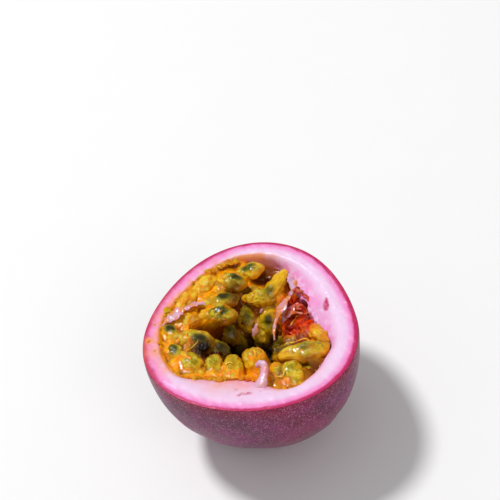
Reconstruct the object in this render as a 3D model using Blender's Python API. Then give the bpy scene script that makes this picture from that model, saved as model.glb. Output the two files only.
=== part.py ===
"""Half of a ripe passion fruit, cut across, lying on its round back with the cut face up.

The peel, purple skin and pale pith, is one bowl, with a strand of pith that rises from the near side.
The pulp is a heap of juicy sacs, each round a seed, that lines the bowl and leaves a well in the middle.
Metres, +Z up. The origin is on the surface that the half rests on, under the middle of its outline.
Run it with: blender --background --python part.py
"""

import math

import bmesh
import bpy
import numpy as np
from mathutils import Matrix, Vector

MM = 0.001

# The whole fruit is an ovoid: its widest level is round the pivot, which every surface is measured from.
FRUIT_RADIUS = 28.5 * MM
HALF_LENGTH = 33.0 * MM
CUT_ABOVE_WIDEST = 1.8 * MM
OVAL = 0.036
OVAL_TOWARDS = math.radians(87.5)
LOBE = 0.0445
LOBE_TOWARDS = math.radians(-45.7)

# It rests on a small flat spot.
FLAT_RADIUS = 5.5 * MM

# The wall of skin and pith at the cut, as (degrees round, thickness in millimetres).
WALL_ROUND = (
    (0, 5.6),
    (60, 5.6),
    (90, 5.0),
    (124, 4.9),
    (139, 4.5),
    (151, 4.0),
    (162, 4.0),
    (175, 4.8),
    (195, 5.4),
    (215, 5.6),
)
FLOOR_WALL = 5.2 * MM
LIP_ROUND = 0.7 * MM
LIP_FALL = math.radians(3.0)
# What the pith adds on the cavity's side, as (degrees round, thickness in millimetres, degrees it rises over).
SHOULDER_ROUND = (
    (0, 4.4, 9),
    (12, 4.3, 9),
    (25, 4.4, 9),
    (38, 4.6, 9),
    (48, 3.2, 9),
    (57, 1.2, 9),
    (68, 0.0, 9),
    (200, 0.0, 6),
    (208, 0.5, 5),
    (216, 2.8, 3.5),
    (226, 4.4, 3.5),
    (236, 5.5, 3.5),
    (248, 6.1, 3.5),
    (262, 6.1, 3.5),
    (270, 4.6, 3.5),
    (279, 2.2, 3.5),
    (288, 0.9, 3.5),
    (300, 1.5, 3.5),
    (318, 2.2, 3.5),
    (332, 1.6, 5),
    (344, 3.4, 7),
    (354, 4.4, 9),
)
SHOULDER_FADES = (math.radians(16), math.radians(58))
BLEND_DEGREES = 15
LUMP = 0.28 * MM

# A torn pit in the pith on the right, with a raised edge.
PIT_TOWARDS = math.radians(24)
PIT_FALL = math.radians(17)
PIT_RADIUS = math.radians(9)
PIT_DEPTH = 2.2 * MM

# The pulp: its clearance from the wall.
GAP = 0.4 * MM
CORE_GAP = 0.65 * MM
CORE_TOP = 3.4 * MM

# The well in the pulp's middle, as (radius, depth under the cut), in millimetres like the lists below.
WELL_CENTRE = (-1.0, 0.6)
WELL = ((15.5, 2.6), (13.0, 4.6), (10.6, 8.0), (9.2, 12.5), (7.6, 17.0), (4.8, 21.0), (0.0, 23.0))
WELL_WAVE = 0.07
WELL_WAVES_DOWN = 1 / (8 * MM)
# Deep gaps between the sacs, as (x, y, depth, radius): at the top, at the right under the pit, low right.
DEEP_GAPS = ((6.2, 20.2, 3.2, 3.4), (12.2, 5.8, 2.8, 4.8), (15.2, -14.4, 3.4, 3.0))

# The strand of pith, as (x, y, depth, radius): from its root in the near wall, up and over the pulp.
STRAND = (
    (-1.2, -21.2, 3.2, 1.7),
    (-0.6, -19.4, 1.5, 1.5),
    (0.3, -17.6, 0.7, 1.25),
    (0.9, -15.6, 0.4, 1.1),
    (1.1, -13.8, 0.5, 1.0),
    (0.4, -12.6, 0.8, 0.85),
    (-0.8, -12.5, 1.4, 0.45),
)
STRAND_SIDES = 10

# How finely the solids are cut.
PEEL_SIDES = 72
WELL_SIDES = 32
SKIN_FALLS = (0, 9, 17, 25, 33, 41, 49, 57, 65, 73, 80, 86, 91, 100, 120, 150, 180)
CAVITY_FALLS = (0, 12, 22, 32, 42, 51, 59, 66, 71, 75, 79, 82.5, 85.5, 88, 90)
CAVITY_LIP_FALLS = (91.5, 93, 94.5, 98, 108, 125, 150, 180)
BIG_SAC = (10, 7)
SMALL_SAC = (7, 5)

# The sacs that the cut laid bare, in millimetres and degrees:
# x, y, depth of the middle, length, width, heading of the free end and its pitch.
BARE_SACS = (
    (2.4, 20.8, 1.3, 8.2, 5.8, 10, 0),
    (-2.4, 18.4, 1.2, 8.4, 6.0, -20, -10),
    (-9.8, 19.4, 1.4, 8.6, 5.6, 25, 0),
    (-6.7, 12.6, 1.8, 10.4, 5.8, 4, -6),
    (-15.2, 14.8, 1.4, 8.2, 5.6, 50, 0),
    (-8.0, 8.2, 2.3, 10.4, 6.8, -5, -12),
    (-15.9, 8.6, 2.2, 8.6, 5.6, 10, -4),
    (-20.4, 4.6, 2.0, 7.6, 5.6, -70, 0),
    (-15.0, 1.3, 2.7, 10.6, 7.6, -20, -16),
    (-20.6, -1.2, 2.4, 6.8, 5.0, -80, 0),
    (-17.2, -5.6, 2.8, 9.0, 6.4, -60, -4),
    (-15.9, -9.8, 3.6, 7.0, 5.2, 30, 0),
    (-11.4, -8.4, 4.0, 9.0, 5.8, 75, 4),
    (-6.8, -10.0, 4.0, 9.4, 6.2, 84, 0),
    (-0.4, -8.2, 3.9, 7.8, 7.2, 96, 0),
    (4.4, -14.0, 5.0, 9.0, 5.2, 100, -6),
    (7.8, -16.2, 4.0, 10.4, 6.4, 97, 0),
    (12.4, -14.2, 6.8, 8.6, 5.4, 140, 0),
    (12.4, -9.4, 3.3, 14.4, 7.0, 174, -6),
    (7.4, -6.2, 5.6, 8.4, 6.0, 170, -22),
    (16.8, -5.6, 2.9, 9.0, 5.2, 114, -4),
    (8.5, 15.4, 3.2, 11.6, 5.4, 229, -11),
    (3.8, 13.2, 4.2, 9.8, 5.8, -12, -4),
    (0.8, 17.0, 4.4, 6.8, 4.8, -60, -10),
)
# The sacs that line the well, further down.
WELL_SACS = (
    (12.2, 9.4, 6.6, 7.0, 5.0, 215, -20),
    (14.4, 4.4, 6.4, 7.0, 5.0, 190, -20),
    (10.6, 3.8, 8.4, 8.0, 5.4, 190, -30),
    (5.4, 9.4, 8.2, 9.4, 5.8, 250, -42),
    (2.6, 8.6, 11.0, 8.0, 5.4, 262, -40),
    (-0.4, 12.0, 8.6, 9.2, 6.0, -90, -34),
    (-6.4, 8.4, 8.8, 9.0, 6.0, -50, -36),
    (-10.4, 1.8, 8.2, 9.2, 6.2, -10, -34),
    (-9.6, -5.0, 8.4, 8.6, 5.8, 35, -30),
    (-3.2, -8.6, 8.6, 8.8, 6.0, 80, -32),
    (4.2, -8.2, 9.2, 8.8, 5.8, 110, -32),
    (9.2, -1.6, 8.0, 8.8, 5.8, 180, -28),
)
# Rings of sacs under those, as (how many, distance from the well's middle, depth, pitch).
WELL_RINGS = ((8, 9.0, 13.6, -48), (6, 7.0, 18.2, -50), (3, 3.2, 21.6, -20))
RING_SAC = (8.6, 5.8)
SAC_FLATNESS = 0.82
SAC_TAPER = 0.34
TURN_OF_RING = math.radians(23)


def outline(angle):
    """The fruit's outline, as a share of its mean radius: a little oval, and a little three-sided."""
    oval = OVAL * np.cos(2 * (angle - OVAL_TOWARDS))
    lobes = LOBE * np.cos(3 * (angle - LOBE_TOWARDS))
    return 1 + oval + lobes


def ellipse_reach(across, down, fall):
    """How far an ellipse with these half axes reaches. A fall is the angle up from straight down."""
    return 1 / np.sqrt((np.sin(fall) / across) ** 2 + (np.cos(fall) / down) ** 2)


def smooth_step(low, high, value):
    share = np.clip((value - low) / (high - low), 0, 1)
    return share * share * (3 - 2 * share)


def turn_between(a, b):
    """The least turn from angle b to angle a, from -180 to 180 degrees."""
    return (a - b + math.pi) % (2 * math.pi) - math.pi


def skin_reach(angle, fall):
    return ellipse_reach(FRUIT_RADIUS * outline(angle), HALF_LENGTH, fall)


def all_round(profile):
    """A profile's columns at each degree from 0 to 360, with their corners rounded off."""
    knots = np.array(profile, float)
    degrees = np.arange(-BLEND_DEGREES, 361 + BLEND_DEGREES)
    window = np.hanning(BLEND_DEGREES)
    at_knots = np.concatenate([knots[:, 0] + turn for turn in (-360, 0, 360)])
    columns = []
    for values in knots.T[1:]:
        level = np.interp(degrees, at_knots, np.tile(values, 3))
        columns.append(np.convolve(level, window / window.sum(), "same")[BLEND_DEGREES:-BLEND_DEGREES])
    return columns


WALL_AT = all_round(WALL_ROUND)[0]
SHOULDER_AT, SHOULDER_RISE_AT = all_round(SHOULDER_ROUND)


def read_round(values, angle):
    return np.interp(np.degrees(angle) % 360, np.arange(361), values)


def cavity_radius(angle):
    """The cavity's radius at the widest level, without what the pith adds."""
    return FRUIT_RADIUS * outline(angle) - read_round(WALL_AT, angle) * MM


def lip_fall(angle):
    """The fall at which the cavity's wall meets the cut."""
    inner = cavity_radius(angle)
    return math.pi / 2 + np.arcsin(np.clip(CUT_ABOVE_WIDEST / inner, -1, 1))


def lumps(angle, fall):
    """Low swellings of the pith, all round and from lip to floor, from -1 to 1."""
    first = np.sin(7 * angle + 1.3) * np.sin(9 * fall + 0.6 * np.sin(3 * angle))
    second = np.sin(13 * angle + 4 * fall) * np.sin(17 * fall - 2 * angle + 0.8)
    return 0.6 * first + 0.4 * second


def pith_thickness(angle, fall):
    """What the pith adds to the wall at this place: the shoulders, their lumps and the torn pit's edge."""
    under_lip = lip_fall(angle) - fall
    rises = smooth_step(0, np.radians(read_round(SHOULDER_RISE_AT, angle)), under_lip)
    fades = 1 - smooth_step(*SHOULDER_FADES, under_lip)
    added = LUMP * lumps(angle, fall) * rises + read_round(SHOULDER_AT, angle) * MM * rises * fades
    from_pit = np.hypot(turn_between(angle, PIT_TOWARDS), under_lip - PIT_FALL) / PIT_RADIUS
    added = added - PIT_DEPTH * np.exp(-((1.25 * from_pit) ** 4))
    added = added + 0.3 * PIT_DEPTH * np.exp(-((from_pit - 1.25) ** 2) / 0.06)
    return added - LIP_ROUND * (1 - smooth_step(0, LIP_FALL, under_lip))


def wall_reach(angle, fall):
    """How far the cavity reaches from the pivot."""
    inner = ellipse_reach(cavity_radius(angle), HALF_LENGTH - FLOOR_WALL, fall)
    return inner - pith_thickness(angle, fall)


def flat_depth():
    """How much the flat spot takes off the fruit's round end."""
    return HALF_LENGTH * (1 - math.sqrt(1 - (FLAT_RADIUS / FRUIT_RADIUS) ** 2))


def axis_shift():
    """Where the fruit's axis stands, so that the middle of the outline's box is over the origin."""
    angle = np.linspace(0, 2 * math.pi, 721)
    x = FRUIT_RADIUS * outline(angle) * np.cos(angle)
    y = FRUIT_RADIUS * outline(angle) * np.sin(angle)
    return -(x.max() + x.min()) / 2, -(y.max() + y.min()) / 2


PIVOT = Vector((*axis_shift(), HALF_LENGTH - flat_depth()))
CUT_HEIGHT = PIVOT.z + CUT_ABOVE_WIDEST


def at(x, y, depth):
    """The point that lies this far from the fruit's axis and this deep under the cut, all in millimetres."""
    return Vector((PIVOT.x + x * MM, PIVOT.y + y * MM, CUT_HEIGHT - depth * MM))


def clear_scene():
    for thing in list(bpy.data.objects):
        bpy.data.objects.remove(thing)


def material(name, colour, roughness):
    made = bpy.data.materials.new(name)
    made.use_nodes = True
    shader = made.node_tree.nodes["Principled BSDF"]
    shader.inputs["Base Color"].default_value = (*colour, 1)
    shader.inputs["Roughness"].default_value = roughness
    made.diffuse_color = (*colour, 1)
    return made


def object_from(name, bm, collection=None):
    """Ends the bmesh as an object with its faces pointing out."""
    bmesh.ops.recalc_face_normals(bm, faces=bm.faces)
    mesh = bpy.data.meshes.new(name)
    bm.to_mesh(mesh)
    bm.free()
    made = bpy.data.objects.new(name, mesh)
    (collection or bpy.context.scene.collection).objects.link(made)
    return made


def turned(profile, sides):
    """A bmesh turned from (radius, height) points, closed where the profile meets the axis."""
    bm = bmesh.new()
    line = [bm.verts.new((radius, 0, height)) for radius, height in profile]
    edges = [bm.edges.new(pair) for pair in zip(line, line[1:])]
    bmesh.ops.spin(
        bm, geom=line + edges, cent=(0, 0, 0), axis=(0, 0, 1), angle=2 * math.pi, steps=sides, use_merge=True
    )
    bmesh.ops.remove_doubles(bm, verts=bm.verts, dist=1e-6)
    return bm


def ball_round_pivot(falls, sides, reach):
    """A closed ball round the pivot whose points lie at reach(angle, fall)."""
    bm = turned([(math.sin(fall), -math.cos(fall)) for fall in falls], sides)
    for vert in bm.verts:
        angle = math.atan2(vert.co.y, vert.co.x)
        fall = math.acos(max(-1.0, min(1.0, -vert.co.z)))
        vert.co = PIVOT + vert.co.normalized() * float(reach(angle, fall))
    return bm


def slice_off(bm, height, side):
    """Cuts the closed bmesh level, drops what is above (side 1) or below (side -1), and closes it."""
    whole = bm.verts[:] + bm.edges[:] + bm.faces[:]
    cut = bmesh.ops.bisect_plane(
        bm, geom=whole, plane_co=(0, 0, height), plane_no=(0, 0, side), clear_outer=True
    )
    edges = [part for part in cut["geom_cut"] if isinstance(part, bmesh.types.BMEdge)]
    bmesh.ops.contextual_create(bm, geom=edges)


def helper(made):
    """Marks a cutter, or a shape that another one takes in."""
    made.hide_render = True
    made.display_type = "WIRE"
    return made


def join(target, other, operation, solver="EXACT"):
    """Adds a Boolean, by one object or by a collection of them."""
    modifier = target.modifiers.new(operation.lower(), "BOOLEAN")
    modifier.operation = operation
    modifier.solver = solver
    if isinstance(other, bpy.types.Collection):
        modifier.operand_type = "COLLECTION"
        modifier.collection = other
    else:
        modifier.object = other


def degrees_list(*degrees):
    return [math.radians(value) for value in degrees]


def ball_off_the_wall(gap):
    """A bmesh that fills the cavity, this far off its wall, and bulges on over the cut."""
    falls = degrees_list(*CAVITY_FALLS, *CAVITY_LIP_FALLS)
    return ball_round_pivot(falls, PEEL_SIDES, lambda angle, fall: wall_reach(angle, fall) - gap)


def make_strand():
    """The strand of pith, a tapered tube along its route, as a helper that the peel takes in."""
    curve = bpy.data.curves.new("strand_route", "CURVE")
    curve.dimensions = "3D"
    curve.bevel_depth = 1.0
    curve.bevel_resolution = STRAND_SIDES // 2 - 2
    curve.use_fill_caps = True
    spline = curve.splines.new("NURBS")
    spline.points.add(len(STRAND) - 1)
    for point, (x, y, depth, radius) in zip(spline.points, STRAND):
        point.co = (*at(x, y, depth), 1)
        point.radius = radius * MM
    spline.use_endpoint_u = True
    spline.order_u = 3
    spline.resolution_u = 4
    route = bpy.data.objects.new("strand_route", curve)
    bpy.context.scene.collection.objects.link(route)
    bpy.context.view_layer.update()
    mesh = bpy.data.meshes.new_from_object(route.evaluated_get(bpy.context.evaluated_depsgraph_get()))
    bpy.data.objects.remove(route)
    bm = bmesh.new()
    bm.from_mesh(mesh)
    bmesh.ops.remove_doubles(bm, verts=bm.verts, dist=1e-6)
    return helper(object_from("strand_shape", bm))


def make_peel():
    """The bowl of skin and pith: the ovoid, cut level, with its flat spot, its cavity and its strand."""
    bm = ball_round_pivot(degrees_list(*SKIN_FALLS), PEEL_SIDES, skin_reach)
    slice_off(bm, CUT_HEIGHT, 1)
    slice_off(bm, 0, -1)
    peel = object_from("peel", bm)
    cavity = helper(object_from("cavity", ball_off_the_wall(0)))
    join(peel, cavity, "DIFFERENCE")
    join(peel, make_strand(), "UNION")
    return peel


def sac_shape(bm, length, width):
    """Makes a ball of radius 1 into a sac along +Z: full at the free end, narrow where it hangs."""
    for vert in bm.verts:
        along = vert.co.z
        taper = 1 - SAC_TAPER * smooth_step(1.0, -1.0, along)
        vert.co.x *= width / 2 * taper
        vert.co.y *= width / 2 * SAC_FLATNESS * taper
        vert.co.z = length / 2 * (along + 0.1 * (along * along - 1))


def add_sac(collection, number, place, size, heading, pitch, cuts):
    """One sac at a place, its free end along heading and pitch."""
    bm = bmesh.new()
    bmesh.ops.create_uvsphere(bm, u_segments=cuts[0], v_segments=cuts[1], radius=1)
    sac_shape(bm, *size)
    level = math.cos(pitch)
    free_end = Vector((math.cos(heading) * level, math.sin(heading) * level, math.sin(pitch)))
    side = Vector((-math.sin(heading), math.cos(heading), 0))
    up = free_end.cross(side)
    turn = Matrix((side, up, free_end)).transposed()
    bmesh.ops.transform(bm, matrix=Matrix.Translation(place) @ turn.to_4x4(), verts=bm.verts)
    return object_from(f"sac_{number:02d}", bm, collection)


def sac_places():
    """Every sac as (place, (length, width), heading, pitch, how finely it is cut)."""
    for sacs, cuts in ((BARE_SACS, BIG_SAC), (WELL_SACS, SMALL_SAC)):
        for x, y, depth, length, width, heading, pitch in sacs:
            size = (length * MM, width * MM)
            yield at(x, y, depth), size, math.radians(heading), math.radians(pitch), cuts
    for ring, (count, distance, depth, pitch) in enumerate(WELL_RINGS):
        for step in range(count):
            angle = 2 * math.pi * step / count + (ring + 1) * TURN_OF_RING
            x = WELL_CENTRE[0] + distance * math.cos(angle)
            y = WELL_CENTRE[1] + distance * math.sin(angle)
            size = (RING_SAC[0] * MM, RING_SAC[1] * MM)
            yield at(x, y, depth), size, angle + math.pi, math.radians(pitch), SMALL_SAC


def make_well():
    """The cutter for the well: a funnel with a wavy wall."""
    mouth = WELL[0][0] * 1.1
    above = 6
    profile = [(0, above), (mouth, above)] + [(radius, -depth) for radius, depth in WELL]
    bm = turned([(radius * MM, height * MM) for radius, height in profile], WELL_SIDES)
    for vert in bm.verts:
        angle = math.atan2(vert.co.y, vert.co.x)
        wave = 1 + WELL_WAVE * math.sin(5 * angle + vert.co.z * WELL_WAVES_DOWN)
        vert.co.x *= wave
        vert.co.y *= wave
    bmesh.ops.translate(bm, verts=bm.verts, vec=at(*WELL_CENTRE, 0))
    return helper(object_from("well", bm))


def make_deep_gap(number, x, y, depth, radius):
    bm = bmesh.new()
    bmesh.ops.create_icosphere(bm, subdivisions=2, radius=radius * MM)
    bmesh.ops.translate(bm, verts=bm.verts, vec=at(x, y, depth))
    return helper(object_from(f"deep_gap_{number}", bm))


def baked(made):
    """Applies every modifier of an object."""
    bpy.context.view_layer.update()
    mesh = bpy.data.meshes.new_from_object(made.evaluated_get(bpy.context.evaluated_depsgraph_get()))
    made.modifiers.clear()
    made.data = mesh


def body_round(face, left):
    """The faces joined to this one, taken out of those left."""
    body = set()
    search = [face]
    left.discard(face)
    while search:
        found = search.pop()
        body.add(found)
        beside = {other for edge in found.edges for other in edge.link_faces} & left
        left -= beside
        search.extend(beside)
    return body


def keep_largest_body(made):
    """Drops loose scraps, and the walls of hollows that the sacs sealed, which fills them."""
    bm = bmesh.new()
    bm.from_mesh(made.data)
    left = set(bm.faces)
    kept = set()
    while left:
        kept = max(kept, body_round(next(iter(left)), left), key=len)
    bmesh.ops.delete(bm, geom=[face for face in bm.faces if face not in kept], context="FACES")
    bm.to_mesh(made.data)
    bm.free()


def make_pulp():
    """The heap of sacs on its core, joined into one body and pressed flat against the wall."""
    bm = ball_off_the_wall(CORE_GAP)
    slice_off(bm, CUT_HEIGHT - CORE_TOP, 1)
    pulp = object_from("pulp", bm)
    room = helper(object_from("room", ball_off_the_wall(GAP)))
    cutters = [make_well()] + [make_deep_gap(number, *gap) for number, gap in enumerate(DEEP_GAPS)]
    for cutter in cutters:
        join(pulp, cutter, "DIFFERENCE")
    baked(pulp)
    sacs = bpy.data.collections.new("sacs")
    bpy.context.scene.collection.children.link(sacs)
    for number, (place, size, heading, pitch, cuts) in enumerate(sac_places()):
        add_sac(sacs, number, place, size, heading, pitch, cuts)
    join(pulp, sacs, "UNION", "MANIFOLD")
    join(pulp, room, "INTERSECT", "MANIFOLD")
    baked(pulp)
    for used in cutters + [room] + list(sacs.objects):
        bpy.data.objects.remove(used)
    bpy.data.collections.remove(sacs)
    keep_largest_body(pulp)
    return pulp


def finish(made, look):
    made.data.materials.clear()
    made.data.materials.append(look)
    made.data.shade_smooth()
    made.data.set_sharp_from_angle(angle=math.radians(35))


def main():
    clear_scene()
    finish(make_peel(), material("purple_skin", (0.19, 0.03, 0.09), 0.45))
    finish(make_pulp(), material("orange_pulp", (0.75, 0.30, 0.02), 0.2))


main()
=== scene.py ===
"""The looks of half a passion fruit: dusty purple skin, pink and white pith, and wet orange pulp.

Everything is in metres, +Z up. A depth is measured down from the cut. A fall is the angle up from
straight down, seen from the pivot, which is on the fruit's axis at its widest level.
"""

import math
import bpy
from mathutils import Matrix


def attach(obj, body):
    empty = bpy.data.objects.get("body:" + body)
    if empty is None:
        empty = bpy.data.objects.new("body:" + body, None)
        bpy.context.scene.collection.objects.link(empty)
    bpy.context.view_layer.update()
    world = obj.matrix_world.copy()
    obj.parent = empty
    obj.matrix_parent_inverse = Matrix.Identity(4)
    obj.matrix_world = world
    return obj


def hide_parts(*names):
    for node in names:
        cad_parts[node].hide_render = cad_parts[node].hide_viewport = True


bl_info = {
    "name": "Passion fruit half",
    "version": (1, 0, 0),
    "blender": (4, 5, 0),
    "location": "3D View > Sidebar > Fruit",
    "description": "Builds half a passion fruit round its packed solids",
    "category": "Add Mesh",
}

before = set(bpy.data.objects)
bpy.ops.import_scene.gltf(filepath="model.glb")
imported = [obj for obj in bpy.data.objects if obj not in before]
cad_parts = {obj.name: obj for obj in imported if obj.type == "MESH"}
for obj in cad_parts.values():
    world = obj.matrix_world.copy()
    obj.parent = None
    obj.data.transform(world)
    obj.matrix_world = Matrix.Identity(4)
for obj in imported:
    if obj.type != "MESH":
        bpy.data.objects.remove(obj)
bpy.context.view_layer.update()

import bpy
import numpy as np
from bpy.props import FloatProperty, FloatVectorProperty, IntProperty, PointerProperty
from mathutils import Matrix, Vector

MM = 0.001
TURN = 2 * math.pi

# The wall of skin and pith at the cut, as (degrees round, thickness in millimetres).
WALL_ROUND = (
    (0, 5.6),
    (60, 5.6),
    (90, 5.0),
    (124, 4.9),
    (139, 4.5),
    (151, 4.0),
    (162, 4.0),
    (175, 4.8),
    (195, 5.4),
    (215, 5.6),
)
# What the pith adds on the cavity's side, as (degrees round, thickness in millimetres, degrees that it
# rises over).
SHOULDER_ROUND = (
    (0, 4.4, 9),
    (12, 4.3, 9),
    (25, 4.4, 9),
    (38, 4.6, 9),
    (48, 3.2, 9),
    (57, 1.2, 9),
    (68, 0.0, 9),
    (200, 0.0, 6),
    (208, 0.5, 5),
    (216, 2.8, 3.5),
    (226, 4.4, 3.5),
    (236, 5.5, 3.5),
    (248, 6.1, 3.5),
    (262, 6.1, 3.5),
    (270, 4.6, 3.5),
    (279, 2.2, 3.5),
    (288, 0.9, 3.5),
    (300, 1.5, 3.5),
    (318, 2.2, 3.5),
    (332, 1.6, 5),
    (344, 3.4, 7),
    (354, 4.4, 9),
)
SHOULDER_FADES = (math.radians(16), math.radians(58))
BLEND_DEGREES = 15

# The pulp's well, as (radius, depth), and deep gaps between sacs, as (x, y, depth, radius). Millimetres.
WELL_CENTRE = (-1.0, 0.6)
WELL = ((15.5, 2.6), (13.0, 4.6), (10.6, 8.0), (9.2, 12.5), (7.6, 17.0), (4.8, 21.0), (0.0, 23.0))
DEEP_GAPS = ((6.2, 20.2, 3.2, 3.4), (12.2, 5.8, 2.8, 4.8), (15.2, -14.4, 3.4, 3.0))

# The sacs that the cut laid bare, in millimetres and degrees: x, y, depth, length, width, the free end's
# heading and pitch. Then how green the juice is, how clear it is over the seed, and how far along that is.
BARE_SACS = (
    (2.4, 20.8, 1.3, 8.2, 5.8, 10, 0, 0.8, 0.9, 0.0),
    (-2.4, 18.4, 1.2, 8.4, 6.0, -20, -10, 0.35, 1.0, 0.1),
    (-9.8, 19.4, 1.4, 8.6, 5.6, 25, 0, 0.0, 0.0, 0.0),
    (-6.7, 12.6, 1.8, 10.4, 5.8, 4, -6, 0.5, 1.0, 0.1),
    (-15.2, 14.8, 1.4, 8.2, 5.6, 50, 0, 0.0, 0.0, 0.0),
    (-8.0, 8.2, 2.3, 10.4, 6.8, -5, -12, 0.4, 1.0, 0.1),
    (-15.9, 8.6, 2.2, 8.6, 5.6, 10, -4, 0.0, 0.1, 0.0),
    (-20.4, 4.6, 2.0, 7.6, 5.6, -70, 0, 0.2, 1.0, -0.1),
    (-15.0, 1.3, 2.9, 10.6, 7.6, -20, -18, 1.0, 1.0, 0.1),
    (-20.6, -1.2, 2.4, 6.8, 5.0, -80, 0, 0.5, 0.8, 0.0),
    (-17.2, -5.6, 2.8, 9.0, 6.4, -60, -4, 0.8, 0.3, 0.0),
    (-15.9, -9.8, 3.6, 7.0, 5.2, 30, 0, 0.1, 0.1, 0.0),
    (-11.4, -8.4, 4.0, 9.0, 5.8, 75, 4, 0.9, 0.4, 0.1),
    (-6.8, -10.0, 4.0, 9.4, 6.2, 84, 0, 0.9, 0.4, 0.1),
    (-0.4, -8.2, 3.9, 7.8, 7.2, 96, 0, 0.3, 0.3, 0.0),
    (4.4, -14.0, 5.0, 9.0, 5.2, 100, -6, 0.1, 0.3, 0.1),
    (7.8, -16.2, 4.0, 10.4, 6.4, 97, 0, 0.5, 0.4, 0.1),
    (12.4, -14.2, 6.8, 8.6, 5.4, 140, 0, 0.2, 0.4, 0.1),
    (12.4, -9.4, 3.3, 14.4, 7.0, 174, -6, 0.6, 0.7, 0.0),
    (7.4, -6.2, 5.6, 8.4, 6.0, 170, -22, 0.7, 0.8, 0.1),
    (16.8, -5.6, 2.9, 9.0, 5.2, 114, -4, 0.0, 0.1, 0.0),
    (8.5, 15.4, 3.0, 11.6, 5.4, 229, -11, 0.25, 0.8, 0.26),
    (3.8, 13.2, 4.2, 9.8, 5.8, -12, -4, 0.6, 0.4, 0.1),
    (0.8, 17.0, 4.4, 6.8, 4.8, -60, -10, 0.8, 0.5, 0.1),
)
# The sacs that line the well.
WELL_SACS = (
    (12.2, 9.4, 6.6, 7.0, 5.0, 215, -20, 0.0, 0.2, 0.1),
    (14.4, 4.4, 6.4, 7.0, 5.0, 190, -20, 0.0, 0.1, 0.1),
    (10.6, 3.8, 8.4, 8.0, 5.4, 190, -30, 0.1, 0.2, 0.1),
    (5.4, 9.4, 8.2, 9.4, 5.8, 250, -42, 0.7, 0.8, 0.1),
    (2.6, 8.6, 11.0, 8.0, 5.4, 262, -40, 0.2, 0.1, 0.1),
    (-0.4, 12.0, 8.6, 9.2, 6.0, -90, -34, 0.4, 0.6, 0.1),
    (-6.4, 8.4, 8.8, 9.0, 6.0, -50, -36, 0.3, 0.6, 0.1),
    (-10.4, 1.8, 8.2, 9.2, 6.2, -10, -34, 0.4, 0.7, 0.1),
    (-9.8, -5.0, 10.2, 8.6, 5.8, 35, -34, 0.4, 0.7, 0.1),
    (-3.2, -8.6, 8.6, 8.8, 6.0, 80, -32, 0.4, 0.6, 0.1),
    (4.2, -8.2, 9.2, 8.8, 5.8, 110, -32, 0.4, 0.6, 0.1),
    (9.2, -1.6, 8.0, 8.8, 5.8, 180, -28, 0.3, 0.7, 0.1),
)
# Rings of sacs under those, as (how many, distance from the well's middle, depth, pitch), and what they have
# in common: length and width, then green, clear and how far along the seed is.
WELL_RINGS = ((8, 9.0, 13.6, -48), (6, 7.0, 18.2, -50), (3, 3.2, 21.6, -20))
RING_SAC = (8.6, 5.8)
RING_LOOKS = (0.4, 0.6, 0.1)
TURN_OF_RING = math.radians(23)
SAC_FLATNESS = 0.82
SAC_TAPER = 0.34
MOST_BUMP = 0.5 * MM
# A seed's thickness as a share of its width, and how far over its sac's middle it lies, as a share of the
# sac's width.
SEED_FLATNESS = 0.62
SEED_LIFT = 0.05
# How far the sacs, the seeds and the bed stay off the cavity's wall.
SAC_CLEARANCE = 0.25 * MM
SEED_CLEARANCE = 1.2 * MM
BED_CLEARANCE = 0.2 * MM

# The tables of soft spots that follow hold a place, as (x, y, depth), a radius, both in millimetres, and a
# strength. First, painted light and painted shade: where the flesh is painted lighter or darker than its
# depth alone would make it.
LIGHT_SPOTS = (
    ((2.2, 6.4, 11.2), 4.1, 1.0),
    ((-2.4, 8.4, 11.4), 2.2, 0.7),
    ((5.4, 9.4, 6.0), 3.6, 0.8),
    ((10.4, 15.4, 2.4), 5.6, 0.9),
    ((-2.8, -12.6, 4.8), 4.8, 1.0),
    ((-9.6, -13.2, 4.4), 4.0, 0.7),
    ((6.4, -15.6, 5.6), 4.4, 0.6),
    ((-8.0, 22.0, 0.8), 4.6, 0.7),
    ((-13.0, 9.6, 2.2), 3.2, 0.7),
    ((9.0, 5.0, 5.0), 3.0, 0.6),
)
# Then the painted shade spots.
DARK_SPOTS = (
    ((-2.2, 15.6, 0.5), 2.7, 0.55),
    ((-2.8, 12.1, 1.4), 2.8, 0.7),
    ((-14.3, -1.7, 1.6), 2.9, 0.6),
    ((-11.8, -2.0, 3.0), 3.4, 0.8),
    ((1.4, 4.6, 14.6), 2.0, 0.9),
    ((3.4, 3.8, 16.4), 2.4, 1.0),
    ((-4.6, 5.4, 13.4), 3.4, 0.8),
    ((-7.8, 5.2, 2.4), 2.3, 0.55),
    ((4.8, -14.8, 2.6), 1.7, 0.55),
    ((11.8, -12.0, 3.4), 2.2, 0.5),
)
# Painted shade: where the gap at the top between two sacs is dark.
DEEP_SPOTS = (((5.6, 19.8, 3.6), 3.0, 0.7),)
# The raw red flesh: in the pit on the right, and in a few small places round the pulp.
TORN_SPOTS = (
    ((13.4, 8.4, 4.5), 4.6, 1.5),
    ((14.6, 3.8, 4.5), 4.4, 1.5),
    ((10.4, 3.0, 7.0), 3.6, 1.5),
    ((14.0, -2.4, 2.4), 1.6, 1.0),
    ((17.8, -8.8, 2.0), 2.6, 0.45),
    ((-18.2, 3.0, 1.6), 1.2, 0.8),
    ((-14.0, 8.0, 1.4), 1.8, 0.4),
)
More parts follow.
